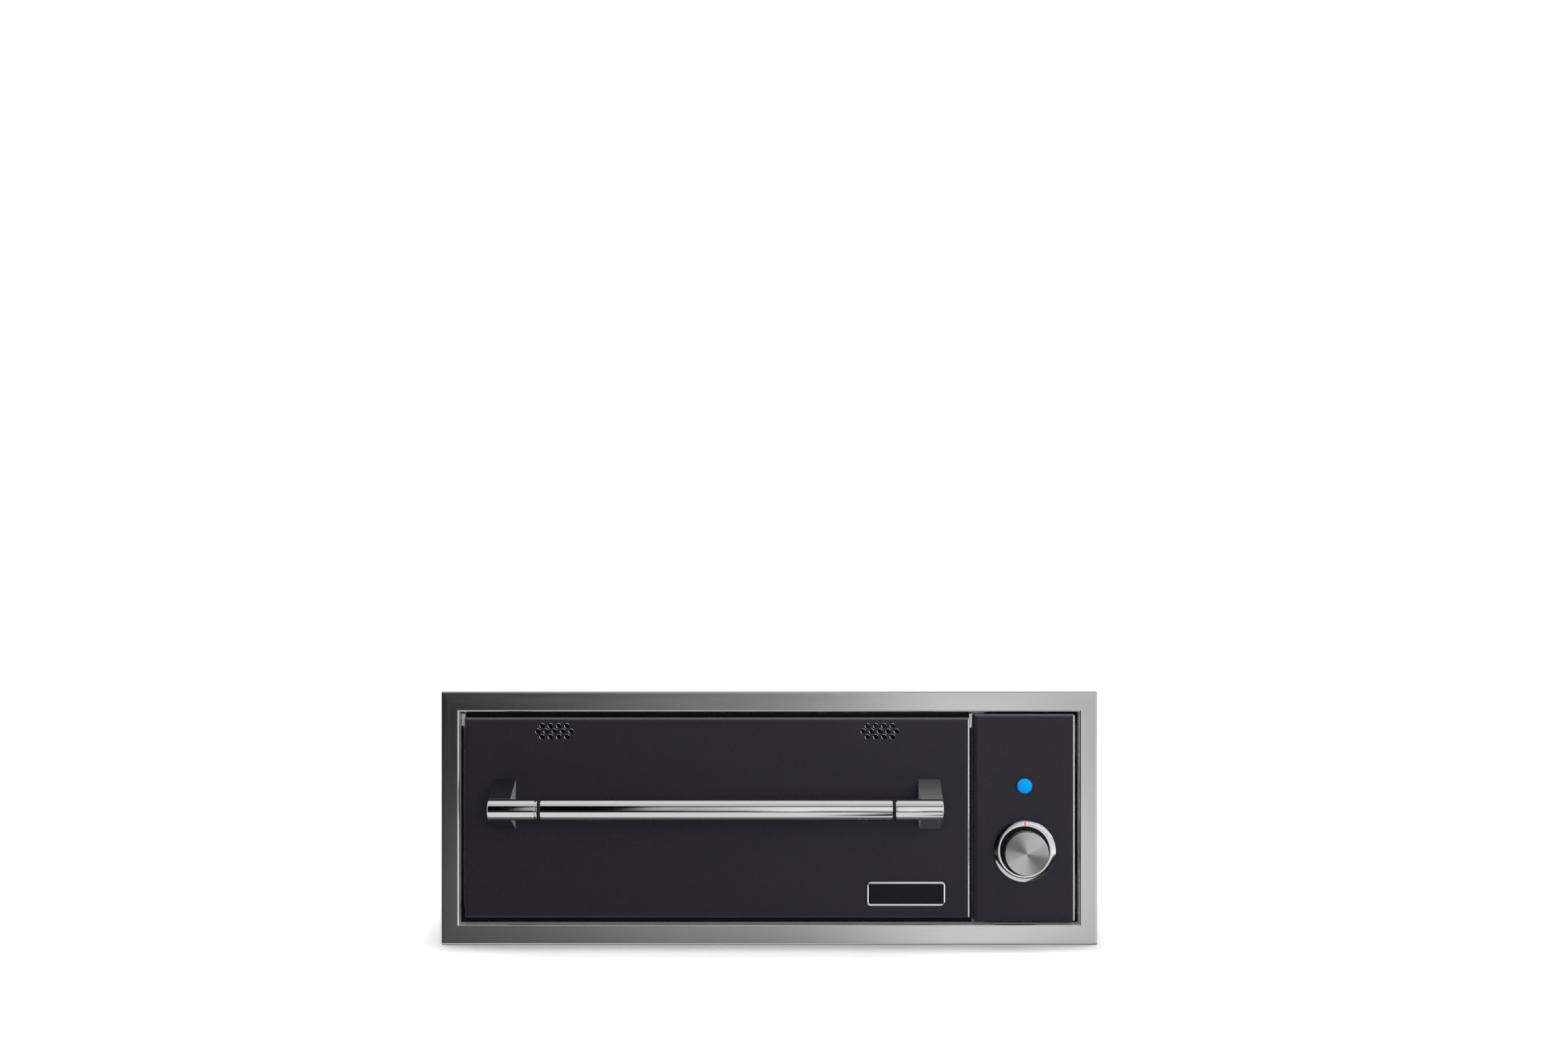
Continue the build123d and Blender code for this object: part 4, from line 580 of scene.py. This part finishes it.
def turned(name, section, steps=96):
    """Turned piece: its section, as (radius, height) pairs, spun round its own Z axis."""
    bm = bmesh.new()
    rows = []
    for radius, height in section:
        if radius < on_axis:
            rows.append([bm.verts.new((0, 0, height))])
            continue
        row = []
        for step in range(steps):
            angle = 2 * math.pi * step / steps
            row.append(bm.verts.new((radius * math.cos(angle), radius * math.sin(angle), height)))
        rows.append(row)
    for first, second in zip(rows, rows[1:]):
        for step in range(steps):
            after = (step + 1) % steps
            if len(first) == 1:
                bm.faces.new((first[0], second[step], second[after]))
            elif len(second) == 1:
                bm.faces.new((first[step], second[0], first[after]))
            else:
                bm.faces.new((first[step], second[step], second[after], first[after]))
    bmesh.ops.recalc_face_normals(bm, faces=bm.faces)
    mesh = to_mesh(name, bm)
    smooth_by_angle(mesh, turned_crease)
    return mesh


def arc(centre_r, centre_h, radius, start, end, steps=6):
    """Section points (radius, height) along an arc between two angles."""
    points = []
    for step in range(steps + 1):
        angle = math.radians(start + (end - start) * step / steps)
        points.append((centre_r + radius * math.cos(angle), centre_h + radius * math.sin(angle)))
    return points


def polished(name, tint, roughness):
    """Polished stainless steel with faint buffing marks round it."""
    material, shader, tree = finish(name, Metallic=1.0)
    marks = cloud(tree, (300.0, 300.0, 2600.0), 3.0, 0.7)
    haze = cloud(tree, (30.0, 30.0, 30.0), 2.0)
    feed(shader, Roughness=roughness + 0.05 * (marks - 0.5) + 0.04 * (haze - 0.5))
    feed(shader, Base_Color=blend(marks, *shades(tint, 0.94, 1.05)))
    return material


bar_steel = polished("polished_steel", (0.70, 0.70, 0.71), 0.07)
bar_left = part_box("left_handle_sleeve")[0][0]
bar_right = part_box("right_handle_sleeve")[1][0]
tube_low, tube_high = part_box("handle_tube")
bar_y = (tube_low[1] + tube_high[1]) / 2
bar_z = (tube_low[2] + tube_high[2]) / 2
sleeve_radius = 0.0118
tube_radius = 0.01195
spigot_radius = 0.0104
spigot_length = 0.012
sleeve_length = 0.0543
end_dome = [(0.0, 0.0), (0.006, 0.0003), (0.0098, 0.0009)]
end_round = 0.0014
end_depth = 0.0026
edge = 0.0006
along_x = Matrix.Rotation(math.radians(90), 4, "Y")
for side, end_x, turn in (("left", bar_left, 0), ("right", bar_right, 180)):
    face_back = Matrix.Rotation(math.radians(turn), 4, "Z")
    place = Matrix.Translation((end_x, bar_y, bar_z)) @ face_back @ along_x
    section = [
        *end_dome,
        *arc(sleeve_radius - end_round, end_depth, end_round, -75, 0),
        (sleeve_radius, sleeve_length - edge),
        *arc(sleeve_radius - edge, sleeve_length - edge, edge, 0, 90, 4),
        (spigot_radius, sleeve_length),
        (spigot_radius, sleeve_length + spigot_length),
        (0.0, sleeve_length + spigot_length),
    ]
    mesh = turned(f"{side}_sleeve", section)
    sleeve = new_object(f"{side}_sleeve", mesh, bar_steel, place)
    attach(sleeve, "drawer")
    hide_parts(f"{side}_handle_sleeve")

tube_length = tube_high[0] - tube_low[0]
tube_wall = 0.0015
bore = tube_radius - tube_wall
place = Matrix.Translation((tube_low[0], bar_y, bar_z)) @ along_x
section = [
    (bore, 0.0),
    *arc(tube_radius - edge, edge, edge, -90, 0, 4),
    *arc(tube_radius - edge, tube_length - edge, edge, 0, 90, 4),
    (bore, tube_length),
    (bore, 0.0),
]
tube = new_object("bar_tube", turned("bar_tube", section), bar_steel, place)
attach(tube, "drawer")
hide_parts("handle_tube")

ring_low, ring_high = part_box("handle_ring")
ring_width = ring_high[0] - ring_low[0]
ring_radius = 0.0112
ring_round = 0.0004
place = Matrix.Translation((ring_low[0], bar_y, bar_z)) @ along_x
section = [
    (spigot_radius, 0.0),
    *arc(ring_radius - ring_round, ring_round, ring_round, -90, 0, 3),
    *arc(ring_radius - ring_round, ring_width - ring_round, ring_round, 0, 90, 3),
    (spigot_radius, ring_width),
    (spigot_radius, 0.0),
]
ring = new_object("bar_ring", turned("bar_ring", section), bar_steel, place)
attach(ring, "drawer")
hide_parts("handle_ring")

rubber, shader, tree = finish("black_rubber", Specular_IOR_Level=0.15)
powder = cloud(tree, (900.0, 900.0, 900.0))
feed(shader, Base_Color=blend(powder, (0.004, 0.004, 0.004, 1), (0.012, 0.012, 0.012, 1)))
feed(shader, Roughness=0.5 + 0.2 * powder)
seal_width = 0.0035
seal_half = seal_width / 2
seal_radius = 0.0123
seal_low, seal_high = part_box("handle_seals")
seal_section = [
    (spigot_radius, 0.0),
    *arc(seal_radius - seal_half, seal_half, seal_half, -90, 90, 12),
    (spigot_radius, seal_width),
    (spigot_radius, 0.0),
]
bm = bmesh.new()
place = Matrix.Translation((seal_low[0], bar_y, bar_z)) @ along_x
one_seal = turned("seal", seal_section)
for start_x in (seal_low[0], seal_high[0] - seal_width):
    bm.from_mesh(one_seal)
    fresh = [vert for vert in bm.verts if not vert.tag]
    bmesh.ops.translate(bm, verts=fresh, vec=(0, 0, start_x - seal_low[0]))
    for vert in bm.verts:
        vert.tag = True
mesh = to_mesh("bar_seals", bm)
smooth_by_angle(mesh, turned_crease)
seals = new_object("bar_seals", mesh, rubber, place)
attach(seals, "drawer")
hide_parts("handle_seals")

# ---------------------------------------------------------------- handle brackets
# Two satin steel blocks, wide at the cover and tapering to a saddle that holds the sleeve
# from behind.
saddle_steps = 16
saddle_gap = 0.00002
bracket_edge = 0.0005
bracket_crease = 30
bracket_sharp = 35
flank_steel = satin("flank_steel", (0.4, 0.4, 0.41), 0.4, 0.3)
# the right bracket gets a lighter, rougher steel than the left: painted light for the brighter
# light on the right
for side, tint, roughness in (("left", 0.34, 0.24), ("right", 0.6, 0.42)):
    bracket_steel = brushed(f"{side}_bracket_steel", (tint, tint, tint), roughness, 0, 0.12)
    low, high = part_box(f"{side}_handle_bracket")
    saddle = sleeve_radius + saddle_gap
    tip_y = low[1]
    reach = tip_y - bar_y
    start = math.degrees(math.acos(reach / saddle))
    outline = [(high[1], low[2]), (high[1], high[2]), (tip_y, bar_z + sleeve_radius)]
    for step in range(saddle_steps + 1):
        angle = math.radians(start - 2 * start * step / saddle_steps)
        outline.append((bar_y + saddle * math.cos(angle), bar_z + saddle * math.sin(angle)))
    outline.append((tip_y, bar_z - sleeve_radius))
    bm = bmesh.new()
    near = [bm.verts.new((low[0], y, z)) for y, z in outline]
    face = bm.faces.new(near)
    moved = bmesh.ops.extrude_face_region(bm, geom=[face])
    fresh = [item for item in moved["geom"] if isinstance(item, bmesh.types.BMVert)]
    bmesh.ops.translate(bm, verts=fresh, vec=(high[0] - low[0], 0, 0))
    bmesh.ops.recalc_face_normals(bm, faces=bm.faces)
    mesh = to_mesh(f"{side}_bracket", bm)
    smooth_by_angle(mesh, bracket_crease)
    bracket = new_object(f"{side}_bracket", mesh, bracket_steel)
    mesh.materials.append(flank_steel)
    for polygon in mesh.polygons:
        polygon.material_index = int(abs(polygon.normal.x) > 0.9)
    softened = bracket.modifiers.new("edges", "BEVEL")
    softened.width = bracket_edge
    softened.segments = 2
    softened.limit_method = "ANGLE"
    softened.angle_limit = math.radians(bracket_sharp)
    weigh_normals(bracket)
    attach(bracket, "drawer")
    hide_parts(f"{side}_handle_bracket")

# ---------------------------------------------------------------- knob and bezel
# Spun stainless knob with a slight taper, pushed on its shaft, in a crowned bright bezel that
# is fixed to the panel. A red line on the bezel marks the setting.


def spun(name, tint, roughness):
    """Stainless steel turned on a lathe: fine grooves round the axis, and broad spokes."""
    material, shader, tree = finish(
        name, Metallic=1.0, Anisotropic=1.0, Anisotropic_Rotation=0.25
    )
    x, y = split(tree.node("ShaderNodeTexCoord", output="Object"), "XY")
    radius = (x * x + y * y) ** 0.5
    turns = tree.node("ShaderNodeCombineXYZ", (), {0: radius * 2200.0, 1: x * 20.0})
    inputs = {"Vector": turns, "Scale": 1.0, "Detail": 3.0}
    grooves = tree.node("ShaderNodeTexNoise", (), inputs)
    feed(shader, Roughness=roughness + 0.14 * (grooves - 0.5))
    feed(shader, Base_Color=blend(grooves, *shades(tint, 0.85, 1.12)))
    emboss(shader, grooves, 0.1, 0.0001)
    return material


to_viewer = Matrix.Rotation(math.radians(90), 4, "X")
knob_steel = spun("spun_steel", (0.74, 0.74, 0.75), 0.45)
knob_depth = knob_high[1] - knob_low[1]
base_radius = 0.0255
face_radius = 0.02475
face_round = 0.0009
face_band = 0.0008
base_ease = 0.0006
hollow_radius = 0.021
hollow_depth = 0.0065
section = [
    (0.0, knob_depth),
    *reversed(arc(face_radius - face_round, knob_depth - face_round, face_round, 0, 90)),
    (base_radius, base_ease),
    (base_radius - base_ease, 0.0),
    (hollow_radius, 0.0),
    (hollow_radius, hollow_depth),
    (0.0, hollow_depth),
]
place = Matrix.Translation((control_x, knob_high[1], knob_z)) @ to_viewer
mesh = turned("knob_cap", section)
knob = new_object("knob_cap", mesh, knob_steel, place)
# the knob's side below its face is near-black steel: painted shade for the dark bezel and panel
# it mirrors
skirt_shade_steel = satin("skirt_shade_steel", (0.05, 0.05, 0.052), 0.9, 0.22)
mesh.materials.append(skirt_shade_steel)
for polygon in mesh.polygons:
    polygon.material_index = int(polygon.center.z < knob_depth - face_band)
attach(knob, "knob")
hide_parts("knob")

bezel_steel = polished("bezel_steel", (0.66, 0.66, 0.67), 0.12)
bezel_low, bezel_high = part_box("knob_bezel")
bezel_height = bezel_high[1] - bezel_low[1]
bezel_outer = 0.03475
bezel_inner = 0.02775
bezel_round = 0.0009
bezel_shoulder = 0.0024
crown_radius = 0.0116
crown_inset = 0.0022
section = [
    (bezel_inner, 0.0),
    (bezel_outer, 0.0),
    *arc(bezel_outer - bezel_round, bezel_height - bezel_shoulder, bezel_round, 0, 60, 4),
    *arc(bezel_inner + crown_inset, bezel_height - crown_radius, crown_radius, 62, 90, 10),
    *arc(bezel_inner + bezel_round, bezel_height - bezel_round, bezel_round, 90, 180, 5),
    (bezel_inner, 0.0),
]
place = Matrix.Translation((control_x, bezel_high[1], knob_z)) @ to_viewer
bezel = new_object("bezel", turned("bezel", section, 128), bezel_steel, place)
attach(bezel, "cabinet")
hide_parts("knob_bezel")


def small_block(name, low, high, material, body, soften):
    """Small block with softened edges between two corners."""
    bm = bmesh.new()
    bmesh.ops.create_cube(bm, size=1.0)
    size = Vector(high) - Vector(low)
    bmesh.ops.scale(bm, vec=size, verts=bm.verts)
    bmesh.ops.translate(bm, vec=(Vector(low) + Vector(high)) / 2, verts=bm.verts)
    bmesh.ops.bevel(bm, geom=bm.edges[:], offset=soften, segments=2, affect="EDGES")
    made = new_object(name, to_mesh(name, bm), material)
    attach(made, body)
    return made


red_ink, shader, tree = finish("red_ink", Roughness=0.4)
flecks = cloud(tree, (3000.0, 3000.0, 3000.0))
feed(shader, Base_Color=blend(flecks, (0.5, 0.012, 0.01, 1), (0.62, 0.02, 0.015, 1)))
mark_half = 0.00065
mark_sunk = 0.0014
mark_ease = 0.00006
mark_inner, mark_outer = 0.0292, 0.0334
mark_low = (control_x - mark_half, bezel_low[1], knob_z + mark_inner)
mark_high = (control_x + mark_half, bezel_low[1] + mark_sunk, knob_z + mark_outer)
mark = small_block("setting_mark", mark_low, mark_high, red_ink, "cabinet", mark_ease)

# ---------------------------------------------------------------- pilot lamp
# Blue plastic lens, lit from behind, in a dark polished ring. The lamp's barrel passes through
# the panel and is held by a nut.
ring_finish, shader, tree = finish("lamp_ring_finish", Metallic=0.9)
marks = cloud(tree, (700.0, 700.0, 700.0))
feed(shader, Base_Color=blend(marks, (0.004, 0.005, 0.012, 1), (0.012, 0.014, 0.03, 1)))
feed(shader, Roughness=0.12 + 0.08 * marks)
lamp_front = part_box("lamp_body")[0][1]
lamp_outer = 0.00935
lamp_inner = 0.00825
lip_round = 0.0005
lip_drop = 0.0004
ring_height = panel_low[1] - lamp_front
section = [
    (lamp_inner, 0.0),
    (lamp_inner, ring_height - lip_drop),
    *reversed(arc(lamp_outer - lip_round, ring_height - lip_round, lip_round, 0, 120, 6)),
    (lamp_outer, 0.0),
    (lamp_inner, 0.0),
]
place = Matrix.Translation((control_x, panel_low[1], lamp_z)) @ to_viewer
lamp_ring = new_object("lamp_ring", turned("lamp_ring", section, 64), ring_finish, place)
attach(lamp_ring, "cabinet")

lens_finish, shader, tree = finish(
    "lit_blue_lens", Roughness=0.3, Emission_Strength=1.0, Specular_IOR_Level=0.0
)
glow = cloud(tree, (60.0, 60.0, 60.0), 1.0)
feed(shader, Base_Color=blend(glow, (0.0, 0.01, 0.05, 1), (0.0, 0.02, 0.08, 1)))
across_lens, up_lens = split(tree.node("ShaderNodeTexCoord", output="Object"), "XY")
lift = rise(across_lens + up_lens, -0.0125, 0.0125)
feed(shader, Emission_Color=blend(lift, (0.0, 0.27, 0.93, 1), (0.0, 0.42, 0.97, 1)))
lens_depth = lens_high[1] - lens_low[1]
lens_radius = 0.0082
lens_round = 0.0008
lens_shoulder = 0.0009
lens_flat = 0.0045
lens_crown = 0.00005
section = [
    (0.0, lens_depth),
    (lens_flat, lens_depth - lens_crown),
    *reversed(arc(lens_radius - lens_round, lens_depth - lens_shoulder, lens_round, 0, 85, 6)),
    (lens_radius, 0.0),
    (0.0, 0.0),
]
place = Matrix.Translation((control_x, lens_high[1], lamp_z)) @ to_viewer
lens = new_object("lens", turned("lens", section, 64), lens_finish, place)
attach(lens, "cabinet")
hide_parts("lamp_lens")

# ---------------------------------------------------------------- badge plate
# Small die-cast plate glued to the cover's lower right: a bright rim with rounded edges round
# a field of black enamel, which is bare.
badge_left, badge_right = 0.11195, 0.20225
badge_low, badge_high = 0.0326, 0.0603
badge_corner = 0.0045
badge_rim = 0.0024
badge_proud = 0.0016
rim_round = 0.0005
rim_ease = 0.00015
field_sunk = 0.0009
badge_crease = 40
badge_front = cover_low[1] - badge_proud
badge_profile = [
    (0.0, cover_low[1]),
    (0.0, badge_front + rim_round),
    (rim_ease, badge_front + rim_ease),
    (rim_round, badge_front),
    (badge_rim - rim_round, badge_front),
    (badge_rim - rim_ease, badge_front + rim_ease),
    (badge_rim, badge_front + rim_round),
    (badge_rim, badge_front + field_sunk),
]
badge_section = [(inset, inset, depth) for inset, depth in badge_profile]
badge_edges = (badge_left, badge_right, badge_low, badge_high)
bm, loops = folded_ring(badge_edges, badge_section, badge_corner, 8)
for face in bm.faces:
    face.material_index = 0
field = bm.faces.new(loops[-1])
field.material_index = 1
bmesh.ops.recalc_face_normals(bm, faces=bm.faces)
mesh = to_mesh("badge", bm)
outward(mesh)
smooth_by_angle(mesh, badge_crease)
badge = new_object("badge", mesh, bar_steel)
enamel, shader, tree = finish("black_enamel", Specular_IOR_Level=0.12)
haze = cloud(tree, (90.0, 90.0, 90.0))
feed(shader, Base_Color=blend(haze, (0.003, 0.003, 0.004, 1), (0.007, 0.007, 0.008, 1)))
feed(shader, Roughness=0.2 + 0.1 * haze)
mesh.materials.append(enamel)
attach(badge, "drawer")

# ---------------------------------------------------------------- pan and inner front
# Pan behind the cover, black as painted shade but for its bright steel top corner ears, with its
# wool, ducts, shutters, rivets, bolts and spacers. The ducts and shutters are black as painted
# shade too, and the inner panel's front faces are painted black as painted shade where the vents
# look at it.
# painted shade: the ducts and shutters behind the vent holes are black so that the holes look
# dark
hole_shade_paint, shader, tree = finish("hole_shade_paint", Specular_IOR_Level=0.05)
haze = cloud(tree, (200.0, 200.0, 200.0))
feed(shader, Base_Color=blend(haze, (0.002, 0.002, 0.002, 1), (0.005, 0.005, 0.005, 1)))
feed(shader, Roughness=0.55 + 0.2 * haze)
repaint(hole_shade_paint, "vent_ducts", "left_vent_shutter", "right_vent_shutter")

ear_x = 0.2905
ear_z = 0.2365
ear_blur = 0.0007
pan_steel, shader, tree = finish("pan_steel_in_painted_shade", Specular_IOR_Level=0.1)
haze = cloud(tree, (90.0, 90.0, 90.0))
pan_x, pan_z = split(tree.node("ShaderNodeTexCoord", output="Object"), "XZ")
pan_x = pan_x - cover_middle
pan_x = pan_x.math("ABSOLUTE", pan_x)
ear = rise(pan_x, ear_x, ear_x + ear_blur) * rise(pan_z, ear_z, ear_z + ear_blur)
# painted shade: the steel pan is black where the gap round the cover lies in shade
pan_shade_colour = blend(haze, (0.001, 0.001, 0.001, 1), (0.003, 0.003, 0.003, 1))
feed(shader, Base_Color=blend(ear, pan_shade_colour, (0.80, 0.80, 0.81, 1)))
feed(shader, Roughness=0.3 + 0.1 * haze, Metallic=0.95 * ear)
repaint(pan_steel, "front_pan")

panel_steel, shader, tree = finish("inner_panel_steel")
scratches = cloud(tree, (14.0, 1500.0, 1500.0), 4.0, 0.7)
facing_y = split(tree.node("ShaderNodeTexCoord", output="Normal"), "Y")[0]
# painted shade: faces looking out through the vents are black instead of bare steel
facing_vents_shade = rise(facing_y, -0.3, -0.6)
bare = blend(scratches, (0.52, 0.52, 0.53, 1), (0.68, 0.68, 0.69, 1))
feed(shader, Base_Color=blend(facing_vents_shade, bare, (0.002, 0.002, 0.002, 1)))
feed(shader, Roughness=0.22 + 0.15 * scratches, Metallic=1 - facing_vents_shade)
repaint(panel_steel, "inner_panel")

zinc = brushed("zinc_plate", (0.52, 0.53, 0.55), 0.36, 1, 0.2)
repaint(zinc, "shutter_rivets", "handle_bolts", "handle_spacers")

wool, shader, tree = finish("mineral_wool", Roughness=1.0)
fibres = cloud(tree, (900.0, 160.0, 900.0), 5.0, 0.8)
lumps = cloud(tree, (40.0, 40.0, 40.0), 3.0)
colour = blend(fibres * lumps * 2.0, (0.30, 0.26, 0.16, 1), (0.74, 0.68, 0.50, 1))
feed(shader, Base_Color=colour)
emboss(shader, fibres, 0.6, 0.001)
repaint(wool, "front_insulation", "base_insulation", "wrap_insulation", "rear_insulation")

# ---------------------------------------------------------------- casing
# Folded casing with its flange, lid, back cover, divider and rails, in galvanised steel with
# a faint spangle, held together by sheet screws. The panel's brackets take the charcoal paint as
# painted shade.
galvanised, shader, tree = finish("galvanised_steel", Metallic=1.0)
place = tree.node("ShaderNodeTexCoord", output="Object")
spangle = place.node("ShaderNodeTexVoronoi", (), {"Vector": place, "Scale": 160.0}, "Color")
spangle = spangle.node("ShaderNodeSeparateColor", (), {0: spangle})
drift = cloud(tree, (12.0, 12.0, 12.0))
flower = spangle * 0.7 + drift * 0.3
feed(shader, Base_Color=blend(flower, (0.47, 0.48, 0.50, 1), (0.57, 0.58, 0.60, 1)))
feed(shader, Roughness=0.34 + 0.08 * spangle + 0.06 * drift)
repaint(galvanised, "outer_casing", "mounting_flange", "top_cover", "back_cover",
        "control_partition", "liner_support_rails")
# painted shade: the panel's brackets are dark where they sit in the shaded gap beside the panel
repaint(cover_paint, "panel_brackets")
repaint(zinc, "cover_screws", "regulator_screws")

# ---------------------------------------------------------------- cavity and drawer tub
# Satin stainless liner with its baffle and clips, and the deep-drawn tub that hangs on the
# slides. A silicone gasket is pushed on round the liner's mouth.
inner_steel = brushed("inner_steel", (0.60, 0.60, 0.61), 0.3, 0, 0.15)
repaint(inner_steel, "inner_liner", "heat_baffle", "element_clips", "bulb_clips", "drawer_tub")

silicone, shader, tree = finish("grey_silicone")
powder = cloud(tree, (500.0, 500.0, 500.0))
feed(shader, Base_Color=blend(powder, (0.16, 0.16, 0.16, 1), (0.22, 0.22, 0.22, 1)))
feed(shader, Roughness=0.55 + 0.15 * powder)
repaint(silicone, "door_gasket")

# ---------------------------------------------------------------- wire rack
# Rack of polished round stainless wire, welded where the cross wires meet the frame. It
# stands loose in the tub on four short feet.


def rounded_route(points, radius, steps=6):
    """Closed route through the points, with its corners turned at a radius."""
    route = []
    for index, corner in enumerate(points):
        before = (Vector(points[index - 1]) - Vector(corner)).normalized()
        after = (Vector(points[(index + 1) % len(points)]) - Vector(corner)).normalized()
        centre = Vector(corner) + (before + after) * radius
        for step in range(steps + 1):
            angle = math.pi / 2 * step / steps
            route.append(
                centre - after * radius * math.cos(angle) - before * radius * math.sin(angle)
            )
    return route


def rods(name, routes, material, body):
    """Round rods as one curve: each route is (points, radius, closed)."""
    data = bpy.data.curves.new(name, "CURVE")
    data.dimensions = "3D"
    data.bevel_resolution = 4
    data.use_fill_caps = True
    data.bevel_depth = 0.001
    for points, radius, closed in routes:
        spline = data.splines.new("POLY")
        spline.points.add(len(points) - 1)
        for point, place in zip(spline.points, points):
            point.co = (*place, 1.0)
            point.radius = radius / data.bevel_depth
        spline.use_cyclic_u = closed
    made = bpy.data.objects.new(name, data)
    bpy.context.scene.collection.objects.link(made)
    data.materials.append(material)
    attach(made, body)
    return made


rack_low, rack_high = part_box("wire_rack")
frame_wire = 0.0025
cross_wire = 0.0016
weld_depth = 0.0004
foot_height = 0.014
rack_inset = 0.0022
rack_corner = 0.018
foot_low = rack_low[2]
frame_z = foot_low + foot_height
cross_z = frame_z + frame_wire + cross_wire - weld_depth
left, right = rack_low[0] + frame_wire, rack_high[0] - frame_wire
front, back = rack_low[1] + rack_inset, rack_high[1] - rack_inset
corners = [(left, front), (right, front), (right, back), (left, back)]
route = rounded_route([(x, y, frame_z) for x, y in corners], rack_corner)
routes = [(route, frame_wire, True)]
wires = 9
for wire in range(wires):
    x = left + (right - left) * (wire + 1) / (wires + 1)
    routes.append(([(x, front, cross_z), (x, back, cross_z)], cross_wire, False))
for x in (left, right):
    for share in (0.25, 0.75):
        y = front + (back - front) * share
        routes.append(([(x, y, foot_low), (x, y, frame_z)], frame_wire, False))
rack = rods("rack", routes, bar_steel, "drawer")
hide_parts("wire_rack")

# ---------------------------------------------------------------- heater and probe
# Sheathed element, darkened by heat, clipped to the liner's floor under the baffle. The
# probe's capillary is drawn copper and runs to the regulator.
sheath, shader, tree = finish("element_sheath", Metallic=0.8)
scale = cloud(tree, (400.0, 400.0, 400.0))
feed(shader, Base_Color=blend(scale, (0.04, 0.035, 0.03, 1), (0.12, 0.09, 0.07, 1)))
feed(shader, Roughness=0.5 + 0.2 * scale)
repaint(sheath, "heating_element")
copper, shader, tree = finish("drawn_copper", Metallic=1.0)
marks = cloud(tree, (600.0, 600.0, 600.0))
feed(shader, Base_Color=blend(marks, (0.55, 0.27, 0.16, 1), (0.72, 0.38, 0.24, 1)))
feed(shader, Roughness=0.28 + 0.12 * marks)
repaint(copper, "probe_capillary")

# ---------------------------------------------------------------- controls and supply
# Regulator, lamp, terminal block and inlet bushing, moulded in black plastic and screwed or
# snapped in place, with braided leads between them.
moulded, shader, tree = finish("moulded_black")
texture = cloud(tree, (1400.0, 1400.0, 1400.0))
feed(shader, Base_Color=blend(texture, (0.012, 0.012, 0.012, 1), (0.03, 0.03, 0.03, 1)))
feed(shader, Roughness=0.42 + 0.15 * texture)
repaint(moulded, "regulator", "lamp_body", "lamp_nut", "inlet_bushing", "terminal_block")
braid, shader, tree = finish("braided_lead")
weave = cloud(tree, (1500.0, 700.0, 1500.0))
feed(shader, Base_Color=blend(weave, (0.26, 0.26, 0.24, 1), (0.5, 0.5, 0.47, 1)))
feed(shader, Roughness=0.7 + 0.2 * weave)
repaint(braid, "internal_wiring")
repaint(zinc, "regulator_shaft")

# ---------------------------------------------------------------- slides and their balls
# Full-extension slides, rolled from zinc-plated steel and screwed to the casing and the tub.
# Hardened balls run between the members, in rows held by the cages.
for side in ("left", "right"):
    repaint(
        zinc,
        f"{side}_slide_cabinet_member",
        f"{side}_slide_middle_member",
        f"{side}_slide_drawer_member",
        f"{side}_outer_ball_cage",
        f"{side}_inner_ball_cage",
    )

ball_steel = polished("ball_steel", (0.7, 0.7, 0.72), 0.12)
race_depth = 0.0065
ball_pitch = 0.0183
ball_inset = 0.0003
ball_crease = 60
for side, inward in (("left", 1), ("right", -1)):
    low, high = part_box(f"{side}_slide_cabinet_member")
    wall_x = low[0] if inward > 0 else high[0]
    for row, radius in (("outer", 0.0022), ("inner", 0.0018)):
        low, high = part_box(f"{side}_{row}_ball_cage")
        bm = bmesh.new()
        count = int((high[1] - low[1]) / ball_pitch)
        start = (low[1] + high[1] - (count - 1) * ball_pitch) / 2
        for z in (low[2] + ball_inset, high[2] - ball_inset):
            for index in range(count):
                centre = (wall_x + inward * race_depth, start + index * ball_pitch, z)
                bmesh.ops.create_icosphere(
                    bm, subdivisions=2, radius=radius, matrix=Matrix.Translation(centre)
                )
        mesh = to_mesh(f"{side}_{row}_balls", bm)
        smooth_by_angle(mesh, ball_crease)
        balls = new_object(f"{side}_{row}_balls", mesh, ball_steel)
        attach(balls, f"{side}_{row}_cage")
